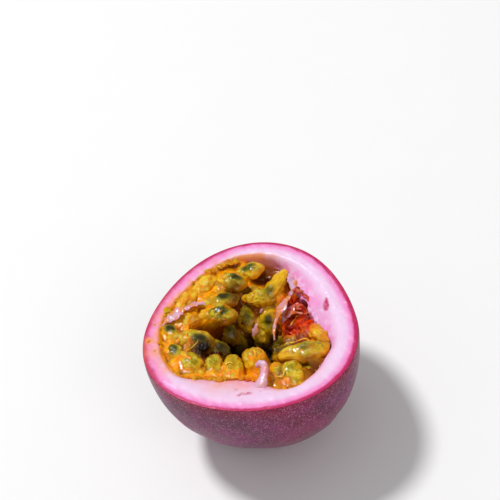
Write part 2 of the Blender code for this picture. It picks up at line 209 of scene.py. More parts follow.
# Where juice has soaked into the pith: along the left rim, over the upper left, and under the pulp's edge.
STAINS = (
    ((-24.6, -2.0, 0), 3.4, 0.75),
    ((-23.4, 2.4, 0), 2.6, 0.7),
    ((-26.4, 2.2, 0), 0.9, 1.3),
    ((-21.4, 9.6, 0), 3.6, 0.4),
    ((-17.6, 15.6, 0), 3.4, 0.25),
    ((-11.0, 20.8, 0), 3.0, 0.25),
    ((-22.6, -8.4, 0.5), 2.6, 0.5),
    ((-16.4, -12.6, 2.2), 2.6, 0.7),
    ((-8.0, -13.6, 2.6), 3.0, 0.6),
    ((4.6, -20.4, 2.0), 3.0, 0.6),
    ((9.6, 22.4, 3.6), 3.2, 0.45),
    ((-11.0, -16.6, 1.2), 3.4, 0.5),
    ((-5.0, -18.4, 0.9), 3.4, 0.4),
    ((3.6, -19.4, 0.9), 2.6, 0.5),
    ((12.0, -19.0, 1.0), 2.6, 0.35),
)
# The crimson marks in the pith: an upright one on the right, and small ones under the strand.
UPRIGHT_MARK = (
    ((20.4, 4.4, 0.25), 0.4, 1),
    ((20.2, 3.5, 0.45), 0.65, 1),
    ((19.9, 2.5, 0.75), 0.85, 1),
    ((19.9, 1.4, 1.0), 0.6, 1),
    ((20.3, 1.9, 0.8), 0.5, 1),
)
LOW_MARKS = (
    ((-6.9, -19.7, 0), 0.6, 1),
    ((-6.6, -22.0, 0), 0.5, 1),
    ((-5.7, -21.6, 0), 0.55, 1),
    ((-4.9, -21.8, 0), 0.65, 1),
    ((-4.2, -21.9, 0), 0.65, 1),
    ((-3.3, -22.1, 0), 0.5, 1),
    ((-1.0, -21.8, 0), 0.4, 1),
    ((0.2, -21.1, 0), 0.4, 1),
    ((1.0, -21.5, 0), 0.5, 1),
    ((2.0, -20.6, 0), 0.6, 1),
    ((2.8, -21.0, 0), 0.5, 1),
)
# How deep the bed's edge and its top lie under the cut, as (degrees round, edge, top) in millimetres.
BED_ROUND = (
    (0, 5.0, 3.4),
    (20, 7.0, 3.4),
    (45, 7.0, 3.4),
    (60, 5.0, 3.4),
    (75, 4.0, 3.0),
    (90, 0.6, 1.4),
    (105, 0.15, 1.0),
    (165, 0.15, 1.0),
    (190, 0.3, 1.4),
    (210, 0.8, 2.2),
    (225, 1.4, 2.6),
    (262, 1.8, 3.0),
    (285, 2.2, 3.0),
    (300, 3.0, 3.6),
    (318, 4.0, 4.4),
    (335, 4.0, 4.4),
)
# The bed is draped from a point over the well, this many millimetres above the cut, and the rays from there
# are followed for this far at most.
VIEW_HEIGHT = 12.0
LONGEST_RAY = 60 * MM
# A distance that no sac is at, in half sizes.
FAR = 9.0

# The loose strand of pith, as (x, y, depth, half width), in millimetres.
STRAND = (
    (-1.6, -21.2, 3.2, 2.2),
    (-0.8, -19.4, 1.7, 1.8),
    (0.3, -17.6, 0.8, 1.35),
    (0.9, -15.6, 0.4, 1.15),
    (1.1, -13.8, 0.5, 1.05),
    (0.4, -12.6, 0.8, 0.9),
    (-0.8, -12.5, 1.4, 0.5),
)
# Torn skins: the route of each, as (x, y, depth, half width) in millimetres, and how orange, how raw and how
# like jelly it is.
TORN_SKINS = (
    # The pale flap left of the pit.
    (
        (
            (5.2, -1.4, 5.4, 0.2), (5.6, 1.0, 4.3, 0.4), (7.0, 4.2, 3.3, 0.8),
            (9.2, 7.4, 2.6, 1.5), (11.0, 10.0, 2.5, 1.0),
        ),
        (0.5, 0.1, 0.7),
    ),
    # The pit's red edge.
    (
        (
            (11.0, 10.2, 3.0, 0.4), (13.0, 11.4, 2.3, 1.1), (15.2, 10.0, 2.3, 1.2),
            (16.8, 6.8, 2.7, 1.2), (17.2, 3.4, 3.3, 0.8),
        ),
        (0.3, 1.0, 0.0),
    ),
    # An orange ridge under it.
    (
        (
            (8.0, 4.2, 5.6, 0.4), (10.2, 6.4, 4.4, 1.4), (12.4, 7.4, 3.8, 1.6),
            (14.2, 6.0, 4.0, 1.2), (15.4, 3.6, 4.8, 0.5),
        ),
        (0.6, 0.7, 0.0),
    ),
    # The jelly in the pit.
    (
        (
            (9.6, 4.8, 4.4, 0.3), (11.0, 5.2, 3.6, 0.8), (12.6, 4.6, 3.7, 0.7),
            (14.4, 4.2, 3.8, 0.6), (16.4, 3.8, 3.9, 0.4),
        ),
        (0.3, 0.4, 1.0),
    ),
    # The whitish strip at the upper left.
    (
        (
            (-22.4, 7.0, 0.5, 0.7), (-19.2, 9.2, -0.1, 1.9), (-15.8, 10.8, -0.2, 2.1),
            (-12.4, 11.8, 0.0, 1.6), (-9.8, 12.2, 0.8, 0.6),
        ),
        (0.35, 0.0, 0.35),
    ),
    # The pale skin beside the sac above the pit.
    (
        (
            (9.6, 20.0, 3.2, 0.4), (12.0, 17.8, 2.5, 1.2), (13.2, 15.0, 2.4, 1.4),
            (13.0, 12.2, 2.7, 1.1), (11.6, 10.4, 3.2, 0.4),
        ),
        (0.1, 0.0, 0.1),
    ),
    # A pale glint on the ridge in the well.
    (
        (
            (0.2, 6.4, 10.4, 0.5), (0.7, 6.9, 9.5, 1.1), (1.1, 7.5, 8.9, 1.0),
            (1.5, 8.2, 8.5, 0.5),
        ),
        (0.3, 0.0, 0.6),
    ),
    # A smaller one above it.
    (
        (
            (3.1, 9.9, 6.2, 0.3), (3.5, 10.2, 5.8, 0.55), (3.9, 10.7, 5.5, 0.3),
        ),
        (0.45, 0.0, 0.5),
    ),
)
SKIN_HALF_THICKNESS = 0.24 * MM
# How many threads of pulp there are, and how many smears of juice on the cut and on the wall below it.
FIBRES = 18
CUT_SMEARS = 40
WALL_SMEARS = 32
# Loose drops of juice, as (x, y, depth, radius) in millimetres.
DROPS = (
    (-26.6, 2.0, 0.0, 0.6),
    (-25.4, -1.6, 0.0, 0.3),
    (-24.0, 0.8, 0.0, 0.45),
    (-24.4, 7.4, 0.0, 0.25),
    (-17.6, 18.6, 0.0, 0.2),
)
# The bowl's rounded outer edge, and the rows of points over its skin, edge, cut and wall.
CUT_EDGE = 0.3 * MM
SKIN_ROWS = 83
EDGE_ROWS = 5
CUT_ROWS = 40
UPPER_WALL_ROWS = 90
LOWER_WALL_ROWS = 21
FLOOR_RADIUS = 1.2
FLOOR_THICKNESS = 4 * MM


def linear(red, green, blue):
    """A colour given from 0 to 255, as the linear values that shaders use."""
    shares = np.array((red, green, blue)) / 255
    values = np.where(shares <= 0.04045, shares / 12.92, ((shares + 0.055) / 1.055) ** 2.4)
    return tuple(float(value) for value in values)


def length_property(name, description, default):
    return FloatProperty(
        name=name, description=description, default=default, min=0, unit="LENGTH", precision=4
    )


def colour_property(name, description, default):
    return FloatVectorProperty(
        name=name, description=description, default=default, min=0, max=1, size=3, subtype="COLOR"
    )


class HalfSizes(bpy.types.PropertyGroup):
    """The sizes that the pieces are worked out from."""

    fruit_radius: length_property("Fruit radius", "Mean radius at the fruit's widest level", 28.5 * MM)
    half_length: length_property("Half length", "From the widest level to the round end", 33.0 * MM)
    cut_above_widest: length_property("Cut height", "How far above the widest level the cut is", 1.8 * MM)
    flat_radius: length_property("Flat spot", "Radius of the flat spot that it rests on", 5.5 * MM)
    floor_wall: length_property("Floor", "Thickness of skin and pith at the round end", 5.2 * MM)
    edge_line: length_property("Crimson line", "Width of the crimson line round the cut", 0.6 * MM)
    pink_band: length_property("Pink band", "Where the pink of the cut has turned white", 2.6 * MM)
    speck: length_property("Speck", "Spacing of the pale specks of the skin", 0.42 * MM)
    seed_length: length_property("Seed", "Length of a seed", 5.6 * MM)
    seed_width: length_property("Seed width", "Width of a seed", 3.9 * MM)
    around: IntProperty(
        name="Divisions", description="Divisions round the fruit", default=360, min=48, max=720
    )


class HalfColours(bpy.types.PropertyGroup):
    """The colours of the pieces."""

    skin: colour_property("Skin", "The skin's purple", linear(82, 10, 50))
    skin_grey: colour_property("Bloom", "The greyer purple where the skin is dusty", linear(134, 52, 106))
    skin_red: colour_property("Red skin", "The redder skin by the cut", linear(140, 14, 56))
    speck: colour_property("Specks", "The pale specks of the skin", linear(222, 150, 172))
    crimson: colour_property("Crimson", "The line round the cut", linear(196, 16, 92))
    pink: colour_property("Pink pith", "The outer pith", linear(246, 142, 208))
    white: colour_property("White pith", "The inner pith", linear(244, 208, 240))
    pith_wall: colour_property("Pith wall", "The pith inside the bowl", linear(234, 164, 212))
    stain: colour_property("Stain", "Juice soaked into the pith", linear(250, 160, 88))
    torn: colour_property("Torn flesh", "The raw red flesh in the torn pit", linear(150, 6, 2))
    torn_light: colour_property("Light torn flesh", "Its lighter, more orange parts", linear(240, 72, 10))
    jelly: colour_property("Jelly", "Torn skins: pale pink jelly, part see-through", linear(240, 176, 176))
    orange: colour_property("Orange juice", "The sacs' orange juice", linear(254, 150, 0))
    orange_red: colour_property("Red orange", "The reddest of the orange juice", linear(232, 84, 0))
    yellow: colour_property("Yellow fibres", "The yellow streaks in the juice", linear(255, 204, 24))
    # Painted highlight: the pale glare on the clear juice.
    pale: colour_property("Pale juice", "The palest lights in the clear juice", linear(246, 224, 78))
    green: colour_property("Green juice", "The clear yellow green juice", linear(202, 186, 2))
    olive: colour_property("Olive juice", "The darker green juice", linear(138, 132, 0))
    seed: colour_property("Seed", "The seeds", linear(34, 40, 2))
    seed_rim: colour_property("Seed edge", "A seed's edge, through the juice", linear(96, 102, 2))
    # Painted shade: the brown where sacs touch, under the sacs and in the bed's folds.
    crevice_shade: colour_property("Crevices", "Where sacs touch", linear(112, 36, 0))
    # Painted shade: the dark down the well and in the dark spots.
    shaded: colour_property("Deep pulp", "The pulp deep in the well", linear(34, 14, 2))
    floor: colour_property("Floor", "The floor", (0.94, 0.94, 0.94))


def smooth_step(low, high, value):
    """0 at low and before it, 1 at high and past it, and eased in between. Low may be the larger."""
    share = np.clip((value - low) / (high - low), 0, 1)
    return share * share * (3 - 2 * share)


def turn_between(a, b):
    """The least turn from angle b to angle a, at most half a turn either way."""
    return (a - b + math.pi) % TURN - math.pi


def all_round(profile):
    """A profile's columns at each degree from 0 to 360, with their corners rounded off."""
    knots = np.array(profile, float)
    degrees = np.arange(-BLEND_DEGREES, 361 + BLEND_DEGREES)
    window = np.hanning(BLEND_DEGREES)
    at_knots = np.concatenate([knots[:, 0] + turn for turn in (-360, 0, 360)])
    columns = []
    for values in knots.T[1:]:
        level = np.interp(degrees, at_knots, np.tile(values, 3))
        columns.append(np.convolve(level, window / window.sum(), "same")[BLEND_DEGREES:-BLEND_DEGREES])
    return columns


def read_round(values, angle):
    """A column of such a profile, read at any angle."""
    return np.interp(np.degrees(angle) % 360, np.arange(361), values)


def ripples(points, size, seed, waves=16):
    """Smooth noise of about unit height in all directions: sine waves of about this size, added up."""
    draw = np.random.default_rng(seed)
    ways = draw.normal(size=(waves, 3))
    ways *= (draw.uniform(0.6, 1.5, waves) * TURN / size / np.linalg.norm(ways, axis=1))[:, None]
    phases = draw.uniform(0, TURN, waves)
    return np.sin(points @ ways.T + phases).sum(axis=-1) / math.sqrt(waves)


def uneven(points, *parts):
    """Ripples added up, from the height, the size and the seed of each, heights and sizes in millimetres."""
    return sum(height * ripples(points, size * MM, seed) for height, size, seed in parts)


def ring_turns(around):
    """Equal turns all the way round, in a row."""
    return np.linspace(0, TURN, around, endpoint=False)[None, :]


def equal_steps(count):
    """Equal steps from 0 to 1, in a column, without the 0."""
    return np.linspace(0, 1, count + 1)[1:, None]


def ways_down(tilt, heading):
    """Unit ways, tilted this far from straight down, towards the heading."""
    tilt, heading = np.broadcast_arrays(tilt, heading)
    return np.stack((np.sin(tilt) * np.cos(heading), np.sin(tilt) * np.sin(heading), -np.cos(tilt)), axis=-1)


def seen_below(arm):
    """The tilt from straight down and the heading at which a point is seen, from its offset."""
    return np.arctan2(np.hypot(arm[..., 0], arm[..., 1]), -arm[..., 2]), np.arctan2(arm[..., 1], arm[..., 0])


class Form:
    """The fruit's main surfaces, as functions of the angle round the axis and of the fall."""

    oval = (0.036, math.radians(87.5))
    lobes = (0.0445, math.radians(-45.7))
    lip_round = 0.7 * MM
    lip_fall_width = math.radians(3.0)
    lump = 0.28 * MM
    pit_towards = math.radians(24)
    pit_fall = math.radians(17)
    pit_radius = math.radians(9)
    pit_depth = 2.2 * MM

    def __init__(self, sizes):
        self.sizes = sizes
        self.wall_at = all_round(WALL_ROUND)[0]
        self.shoulder_at, self.shoulder_rise_at = all_round(SHOULDER_ROUND)
        flat_share = sizes.flat_radius / sizes.fruit_radius
        flat_depth = sizes.half_length * (1 - math.sqrt(1 - flat_share**2))
        angle = np.linspace(0, TURN, 721)
        x = sizes.fruit_radius * self.outline(angle) * np.cos(angle)
        y = sizes.fruit_radius * self.outline(angle) * np.sin(angle)
        shift = (-(x.max() + x.min()) / 2, -(y.max() + y.min()) / 2)
        self.pivot = np.array((*shift, sizes.half_length - flat_depth))
        self.cut = self.pivot[2] + sizes.cut_above_widest
        self.above_well = self.at((*WELL_CENTRE, -VIEW_HEIGHT))

    def outline(self, angle):
        """The outline as a share of its mean radius: a little oval, and a little three-sided."""
        oval = self.oval[0] * np.cos(2 * (angle - self.oval[1]))
        return 1 + oval + self.lobes[0] * np.cos(3 * (angle - self.lobes[1]))

    @staticmethod
    def ellipse_reach(across, down, fall):
        """How far an ellipse is from its centre at this fall, from its half sizes across and down."""
        return 1 / np.sqrt((np.sin(fall) / across) ** 2 + (np.cos(fall) / down) ** 2)

    def skin_reach(self, angle, fall):
        """How far the skin is from the pivot: an ellipse over the outline."""
        across = self.sizes.fruit_radius * self.outline(angle)
        return self.ellipse_reach(across, self.sizes.half_length, fall)

    def rim_fall(self, angle):
        """The fall at which the skin meets the cut."""
        widest = self.sizes.fruit_radius * self.outline(angle)
        at_cut = widest * math.sqrt(1 - (self.sizes.cut_above_widest / self.sizes.half_length) ** 2)
        return math.pi / 2 + np.arctan2(self.sizes.cut_above_widest, at_cut)

    def cavity_radius(self, angle):
        """The cavity's radius at the widest level, without what the pith adds."""
        return self.sizes.fruit_radius * self.outline(angle) - read_round(self.wall_at, angle) * MM

    def lip_fall(self, angle):
        """The fall at which the cavity's wall meets the cut."""
        rise = np.clip(self.sizes.cut_above_widest / self.cavity_radius(angle), -1, 1)
        return math.pi / 2 + np.arcsin(rise)

    def lumps(self, angle, fall):
        """The pith's soft lumps, from about -1 to 1: two pairs of sine waves that cross."""
        first = np.sin(7 * angle + 1.3) * np.sin(9 * fall + 0.6 * np.sin(3 * angle))
        second = np.sin(13 * angle + 4 * fall) * np.sin(17 * fall - 2 * angle + 0.8)
        return 0.6 * first + 0.4 * second

    def from_pit(self, angle, fall):
        """How far a place on the wall is from the torn pit's middle, in pit radii."""
        under_lip = self.lip_fall(angle) - fall
        across = turn_between(angle, self.pit_towards)
        return np.hypot(across, under_lip - self.pit_fall) / self.pit_radius

    def pith_thickness(self, angle, fall):
        """What the pith adds to the wall: the shoulders, their lumps, the torn pit and the round lip."""
        under_lip = self.lip_fall(angle) - fall
        rises = smooth_step(0, np.radians(read_round(self.shoulder_rise_at, angle)), under_lip)
        fades = 1 - smooth_step(*SHOULDER_FADES, under_lip)
        added = self.lump * self.lumps(angle, fall) * rises
        added = added + read_round(self.shoulder_at, angle) * MM * rises * fades
        from_pit = self.from_pit(angle, fall)
        hollow = np.exp(-((1.25 * from_pit) ** 4))
        raised_edge = 0.3 * np.exp(-((from_pit - 1.25) ** 2) / 0.06)
        added = added + self.pit_depth * (raised_edge - hollow)
        return added - self.lip_round * (1 - smooth_step(0, self.lip_fall_width, under_lip))

    def wall_reach(self, angle, fall):
        """How far the cavity's wall is from the pivot: an inner ellipse, less what the pith adds."""
        down = self.sizes.half_length - self.sizes.floor_wall
        return self.ellipse_reach(self.cavity_radius(angle), down, fall) - self.pith_thickness(angle, fall)

    def on_fall(self, angle, fall, reach):
        """The points this far from the pivot."""
        return self.pivot + ways_down(fall, angle) * np.asarray(reach)[..., None]

    def on_wall(self, angle, fall, gap=0.0):
        """The points this far inside the cavity's wall."""
        return self.on_fall(angle, fall, self.wall_reach(angle, fall) - gap)

    def bottom(self, gap=0.0):
        """The point this far above the cavity's lowest one."""
        return self.on_wall(np.zeros(1), np.zeros(1), gap)[0]

    def seen_from_pivot(self, points):
        """The angle, the fall and the distance at which points are seen from the pivot."""
        arm = points - self.pivot
        distance = np.linalg.norm(arm, axis=-1)
        fall = np.arccos(np.clip(-arm[..., 2] / np.maximum(distance, 1e-9), -1, 1))
        return np.arctan2(arm[..., 1], arm[..., 0]), fall, distance

    def held_inside(self, points, gap):
        """The points, moved towards the pivot until they clear the cavity's wall."""
        angle, fall, distance = self.seen_from_pivot(points)
        share = np.minimum(1, (self.wall_reach(angle, fall) - gap) / np.maximum(distance, 1e-9))
        return self.pivot + (points - self.pivot) * share[..., None]

    def at(self, places):
        """Points from (x, y, depth) in millimetres, measured from the axis and down from the cut."""
        origin = np.array((self.pivot[0], self.pivot[1], self.cut))
        return origin + np.asarray(places, float) * MM * (1, 1, -1)

    def from_well(self, points):
        """How far points are from the well's axis, in millimetres."""
        return np.linalg.norm((points - self.above_well)[..., :2], axis=-1) / MM

    def near(self, points, place, radius):
        """A soft spot round (x, y, depth) in millimetres: 1 in its middle, falling off over the radius."""
        away = np.linalg.norm(points - self.at(place), axis=-1) / (radius * MM)
        return np.exp(-(away**2))

    def total_near(self, points, table):
        """Soft spots added up, from rows of place, radius and strength."""
        return sum(strength * self.near(points, place, radius) for place, radius, strength in table)

    def spots(self, points, table):
        """The same, held to 0 to 1."""
        return np.clip(self.total_near(points, table), 0, 1)


def closed_grid_faces(rows, around):
    """Faces of a grid that closes round, with a pole before its first row and after its last."""
    ring = np.arange(around)
    after = (ring + 1) % around
    start = 1 + np.arange(rows - 1)[:, None] * around
    quads = np.stack((start + ring, start + after, start + around + after, start + around + ring), axis=-1)
    last = 1 + (rows - 1) * around
    end = 1 + rows * around
    first_fan = np.stack((np.zeros_like(ring), 1 + after, 1 + ring), axis=-1)
    last_fan = np.stack((np.full_like(ring, end), last + ring, last + after), axis=-1)
    return quads.reshape(-1, 4), np.concatenate((first_fan, last_fan))


def signed_volume(points, quads, triangles):
    """The volume inside the faces: more than 0 where they face outwards."""
    halves = np.concatenate((quads[:, [0, 1, 2]], quads[:, [0, 2, 3]], triangles))
    corners = points[halves]
    return np.einsum("ij,ij->i", corners[:, 0], np.cross(corners[:, 1], corners[:, 2])).sum() / 6


def put_mesh(name, points, quads, triangles, masks):
    """A smooth mesh object with its faces pointing out, and a point attribute for each mask."""
    if signed_volume(points, quads, triangles) < 0:
        quads, triangles = quads[:, ::-1], triangles[:, ::-1]
    mesh = bpy.data.meshes.new(name)
    mesh.vertices.add(len(points))
    mesh.vertices.foreach_set("co", points.astype(np.float32).ravel())
    corners = np.concatenate((quads.ravel(), triangles.ravel())).astype(np.int32)
    starts = np.concatenate((np.arange(len(quads)) * 4, len(quads) * 4 + np.arange(len(triangles)) * 3))
    mesh.loops.add(len(corners))
    mesh.loops.foreach_set("vertex_index", corners)
    mesh.polygons.add(len(starts))
    mesh.polygons.foreach_set("loop_start", starts.astype(np.int32))
    mesh.update(calc_edges=True)
    mesh.validate()
    mesh.shade_smooth()
    for mask, values in masks.items():
        attribute = mesh.attributes.new(mask, "FLOAT", "POINT")
        attribute.data.foreach_set("value", np.asarray(values, np.float32).ravel())
    made = bpy.data.objects.new(name, mesh)
    bpy.context.scene.collection.objects.link(made)
    return made


def closed_pieces(name, poles, grids, masks, material):
    """One mesh of many closed grids alike. poles is (pieces, 2, 3) and grids is (pieces, rows, around, 3).

    Each mask has a value for each point of the grids, and goes on to the poles from the rows beside them.
    """
    pieces, rows, around = grids.shape[:3]
    quads, triangles = closed_grid_faces(rows, around)
    step = (rows * around + 2) * np.arange(pieces)[:, None, None]
    points = np.concatenate((poles[:, :1], grids.reshape(pieces, -1, 3), poles[:, 1:]), axis=1)
    joined = {}
    for mask, values in masks.items():
        values = np.broadcast_to(values, grids.shape[:3]).reshape(pieces, -1)
        joined[mask] = np.concatenate((values[:, :1], values, values[:, -around, None]), axis=1)
    quads = (quads[None] + step).reshape(-1, 4)
    triangles = (triangles[None] + step).reshape(-1, 3)
    made = put_mesh(name, points.reshape(-1, 3), quads, triangles, joined)
    made.data.materials.append(material)
    return made


def ball_angles(rows, around):
    """A ball's polar angles in a column, without its poles, and its turns in a row."""
    return np.linspace(0, math.pi, rows + 2)[1:-1, None], ring_turns(around)


def smooth_path(knots, count):
    """Points along a smooth curve through the knots, where a knot's last value is its width.

    Between two knots it is a cubic. Its slope at a knot is half the way from the knot before to the next.
    """
    knots = np.asarray(knots, float)
    padded = np.concatenate((2 * knots[:1] - knots[1:2], knots, 2 * knots[-1:] - knots[-2:-1]))
    place = np.linspace(0, len(knots) - 1 - 1e-9, count)
    first = place.astype(int)
    t = (place - first)[:, None]
    a, b, c, d = (padded[first + shift] for shift in range(4))
    return 0.5 * (2 * b + (c - a) * t + (2 * a - 5 * b + 4 * c - d) * t**2 + (3 * b - a - 3 * c + d) * t**3)


def swept(path, half_width, half_thickness, around, twist):
    """A closed tube: an ellipse carried along the path, as wide and thick as given at each of its points."""
    along = np.gradient(path, axis=0)
    along /= np.linalg.norm(along, axis=1)[:, None]
    side = np.cross(along, (0.0, 0.0, 1.0))
    side /= np.linalg.norm(side, axis=1)[:, None]
    over = np.cross(side, along)
    turn = ring_turns(around) + np.zeros((len(path), 1))
    lean = twist * np.linspace(0, 1, len(path))[:, None]
    across = half_width[:, None] * np.cos(turn)
    high = half_thickness[:, None] * np.sin(turn)
    sideways = across * np.cos(lean) - high * np.sin(lean)
    upwards = across * np.sin(lean) + high * np.cos(lean)
    return path[:, None] + sideways[..., None] * side[:, None] + upwards[..., None] * over[:, None]


class Shader:
    """A material or a node group under construction."""

    def __init__(self, tree):
        self.tree = tree

    def node(self, kind, inputs=None, **settings):
        made = self.tree.nodes.new(kind)
        for setting, value in settings.items():
            setattr(made, setting, value)
        for socket, value in (inputs or {}).items():
            self.feed(value, made.inputs[socket])
        return made

    def feed(self, value, socket):
        """Links a socket to the value, or sets the value on it."""
        if isinstance(value, bpy.types.NodeSocket):
            self.tree.links.new(value, socket)
        elif socket.type == "RGBA" and len(value) == 3:
            socket.default_value = (*value, 1)
        else:
            socket.default_value = value

    def mask(self, name):
        return self.node("ShaderNodeAttribute", attribute_name=name).outputs["Fac"]

    def place(self):
        return self.node("ShaderNodeTexCoord").outputs["Object"]

    def maths(self, operation, *values):
        made = self.node("ShaderNodeMath", operation=operation)
        for value, socket in zip(values, made.inputs):
            self.feed(value, socket)
        return made.outputs[0]

    def times(self, first, second):
        return self.maths("MULTIPLY", first, second)

    def plus(self, first, second):
        return self.maths("ADD", first, second)

    def mixed(self, share, first, second):
        made = self.node("ShaderNodeMix", data_type="RGBA", blend_type="MIX", clamp_factor=True)
        for value, socket in ((share, "Factor"), (first, "A"), (second, "B")):
            self.feed(value, made.inputs[socket])
        return made.outputs["Result"]

    def noise(self, scale, detail=3.0, roughness=0.55, distortion=0.0):
        values = {"Vector": self.place(), "Scale": scale, "Detail": detail, "Roughness": roughness}
        return self.node("ShaderNodeTexNoise", values | {"Distortion": distortion}).outputs["Fac"]

    def ranged(self, value, low, high, to_low=0.0, to_high=1.0):
        """The value as it goes from low to high, eased in and out, from to_low to to_high."""
        inputs = {"Value": value, "From Min": low, "From Max": high, "To Min": to_low, "To Max": to_high}
        made = self.node("ShaderNodeMapRange", inputs, interpolation_type="SMOOTHSTEP", clamp=True)
        return made.outputs["Result"]

    def bump(self, height, strength, distance, normal=None):
        inputs = {"Height": height, "Strength": strength, "Distance": distance}
        if normal is not None:
            inputs["Normal"] = normal
        return self.node("ShaderNodeBump", inputs).outputs["Normal"]


class Paint(Shader):
    """A material under construction. Its colour is laid on in coats, and its surface is set at the end."""

    def __init__(self, name, first):
        self.material = bpy.data.materials.new(name)
        self.material.use_nodes = True
        super().__init__(self.material.node_tree)
        self.surface = self.tree.nodes["Principled BSDF"].inputs
        self.colour = first
        self.normal = None

    def coat(self, share, colour):
        """Lays a colour over those before, by a share from 0 to 1."""
        self.colour = self.mixed(share, self.colour, colour)

    def between(self, value, low, high, first, second):
        """A colour that goes from the first to the second as the value goes from low to high."""
        return self.mixed(self.ranged(value, low, high), first, second)

    def raw_flesh(self, colours, value, low, high, share=None):
        """Lays raw red flesh over the places that the torn mask marks, or else by the share given."""
        raw = self.between(value, low, high, colours.torn, colours.torn_light)
        self.coat(self.mask("torn") if share is None else share, raw)

    def bumped(self, height, strength, distance):
        self.normal = self.bump(height, strength, distance, self.normal)

    def wet(self, grain, strength, smoothest, roughest):
        """Gives the surface the wet grain's roughness and normal."""
        made = self.node("ShaderNodeGroup", node_tree=wet_grain_group())
        for value, socket in zip((grain, strength, smoothest, roughest), made.inputs):
            socket.default_value = value
        self.feed(made.outputs["Roughness"], self.surface["Roughness"])
        self.normal = made.outputs["Normal"]

    def flesh(self, weight, radius, scale):
        """Sets how light spreads under the surface."""
        self.surface["Subsurface Weight"].default_value = weight
        self.surface["Subsurface Radius"].default_value = radius
        self.surface["Subsurface Scale"].default_value = scale

    def finished(self, constants=None):
        """Wires the colour and the normal up, and sets constants on the shader's own sockets."""
        self.feed(self.colour, self.surface["Base Color"])
        if self.normal is not None:
            self.feed(self.normal, self.surface["Normal"])
        for socket, value in (constants or {}).items():
            self.surface[socket].default_value = value
        return self.material


def wet_grain_group():
    """A group for all that is wet: fine unevenness as a normal, and a roughness that varies with it."""
    if "wet_grain" in bpy.data.node_groups:
        return bpy.data.node_groups["wet_grain"]
    tree = bpy.data.node_groups.new("wet_grain", "ShaderNodeTree")
    defaults = {"Grain per metre": 900.0, "Strength": 0.3, "Smoothest": 0.08, "Roughest": 0.3}
    for name, default in defaults.items():
        socket = tree.interface.new_socket(name=name, in_out="INPUT", socket_type="NodeSocketFloat")
        socket.default_value = default
    tree.interface.new_socket(name="Roughness", in_out="OUTPUT", socket_type="NodeSocketFloat")
    tree.interface.new_socket(name="Normal", in_out="OUTPUT", socket_type="NodeSocketVector")
    shader = Shader(tree)
    given = shader.node("NodeGroupInput").outputs
    fine = shader.noise(given["Grain per metre"], detail=4.0)
    coarse = shader.noise(shader.times(given["Grain per metre"], 0.3), detail=2.0, distortion=0.6)
    height = shader.plus(shader.times(fine, 0.4), coarse)
    out = shader.node("NodeGroupOutput").inputs
    shader.feed(shader.ranged(coarse, 0.35, 0.7, given["Smoothest"], given["Roughest"]), out["Roughness"])
    shader.feed(shader.bump(height, given["Strength"], 0.6 * MM), out["Normal"])
    return tree


def skin_material(colours, sizes):
    """Dusty purple skin: mottled, redder by the cut, with fine pale specks and the dimples of leather."""
    paint = Paint("passion_skin", colours.skin)
    mottle = paint.noise(170.0, detail=5.0, roughness=0.6)
    grain = paint.noise(2000.0, detail=3.0, roughness=0.7)
    dusty = paint.plus(paint.times(mottle, 0.5), paint.times(grain, 0.5))
    paint.coat(paint.ranged(dusty, 0.4, 0.62), colours.skin_grey)
    broad = paint.noise(45.0, detail=2.0)
    paint.coat(paint.ranged(broad, 0.45, 0.75, 0.0, 0.45), colours.skin_red)
    paint.coat(paint.mask("by_cut"), colours.skin_red)
    cells = paint.node("ShaderNodeTexVoronoi", {"Vector": paint.place(), "Scale": 1 / sizes.speck})
    dot = paint.ranged(cells.outputs["Distance"], 0.15, 0.5, 1.0, 0.0)
    patchy = paint.ranged(paint.noise(900.0, detail=3.0), 0.36, 0.6, 0.1, 1.0)
    paint.coat(paint.times(paint.times(dot, patchy), 0.62), colours.speck)
    paint.feed(paint.ranged(mottle, 0.3, 0.7, 0.4, 0.6), paint.surface["Roughness"])
    paint.bumped(paint.plus(paint.times(dot, 0.5), paint.noise(700.0, detail=4.0)), 0.35, 0.25 * MM)
    return paint.finished({"Specular IOR Level": 0.28, "Sheen Weight": 0.16, "Sheen Roughness": 0.35})


def pith_material(colours, sizes):
    """The cut and the bowl's inside: crimson line, pink, white, wet pith wall, juice stains and torn red."""
    paint = Paint("passion_pith", colours.crimson)
    flow = paint.noise(420.0, detail=4.0, distortion=0.4)
    wander = paint.times(paint.maths("SUBTRACT", flow, 0.5), 0.9 * MM)
    inward = paint.plus(paint.mask("from_skin"), wander)
    line, pink = sizes.edge_line, sizes.pink_band
    paint.coat(paint.ranged(inward, 0.4 * line, 2.2 * line), colours.pink)
    paint.coat(paint.ranged(inward, 0.4 * pink, 1.35 * pink), colours.white)
    inside = paint.mask("inside")
    paint.coat(inside, colours.pith_wall)
    blotch = paint.noise(240.0, detail=5.0, roughness=0.65)
    paint.coat(paint.times(inside, paint.ranged(blotch, 0.42, 0.6, 0.0, 0.75)), colours.pink)
    pale = paint.noise(520.0, detail=3.0, distortion=0.5)
    paint.coat(paint.times(inside, paint.ranged(pale, 0.5, 0.6, 0.0, 0.6)), colours.white)
    paint.coat(paint.times(paint.mask("stain"), paint.ranged(blotch, 0.3, 0.6, 0.45, 1.0)), colours.stain)
    raw = paint.times(paint.mask("torn"), paint.ranged(flow, 0.3, 0.6, 0.5, 1.0))
    paint.raw_flesh(colours, flow, 0.4, 0.6, raw)
    marked = paint.times(paint.mask("red_spot"), paint.ranged(flow, 0.35, 0.5, 0.6, 1.0))
    paint.coat(marked, colours.crimson)
    paint.wet(1100.0, 0.22, 0.3, 0.5)
    paint.flesh(0.25, (1.0, 0.5, 0.6), 1.2 * MM)
    return paint.finished()


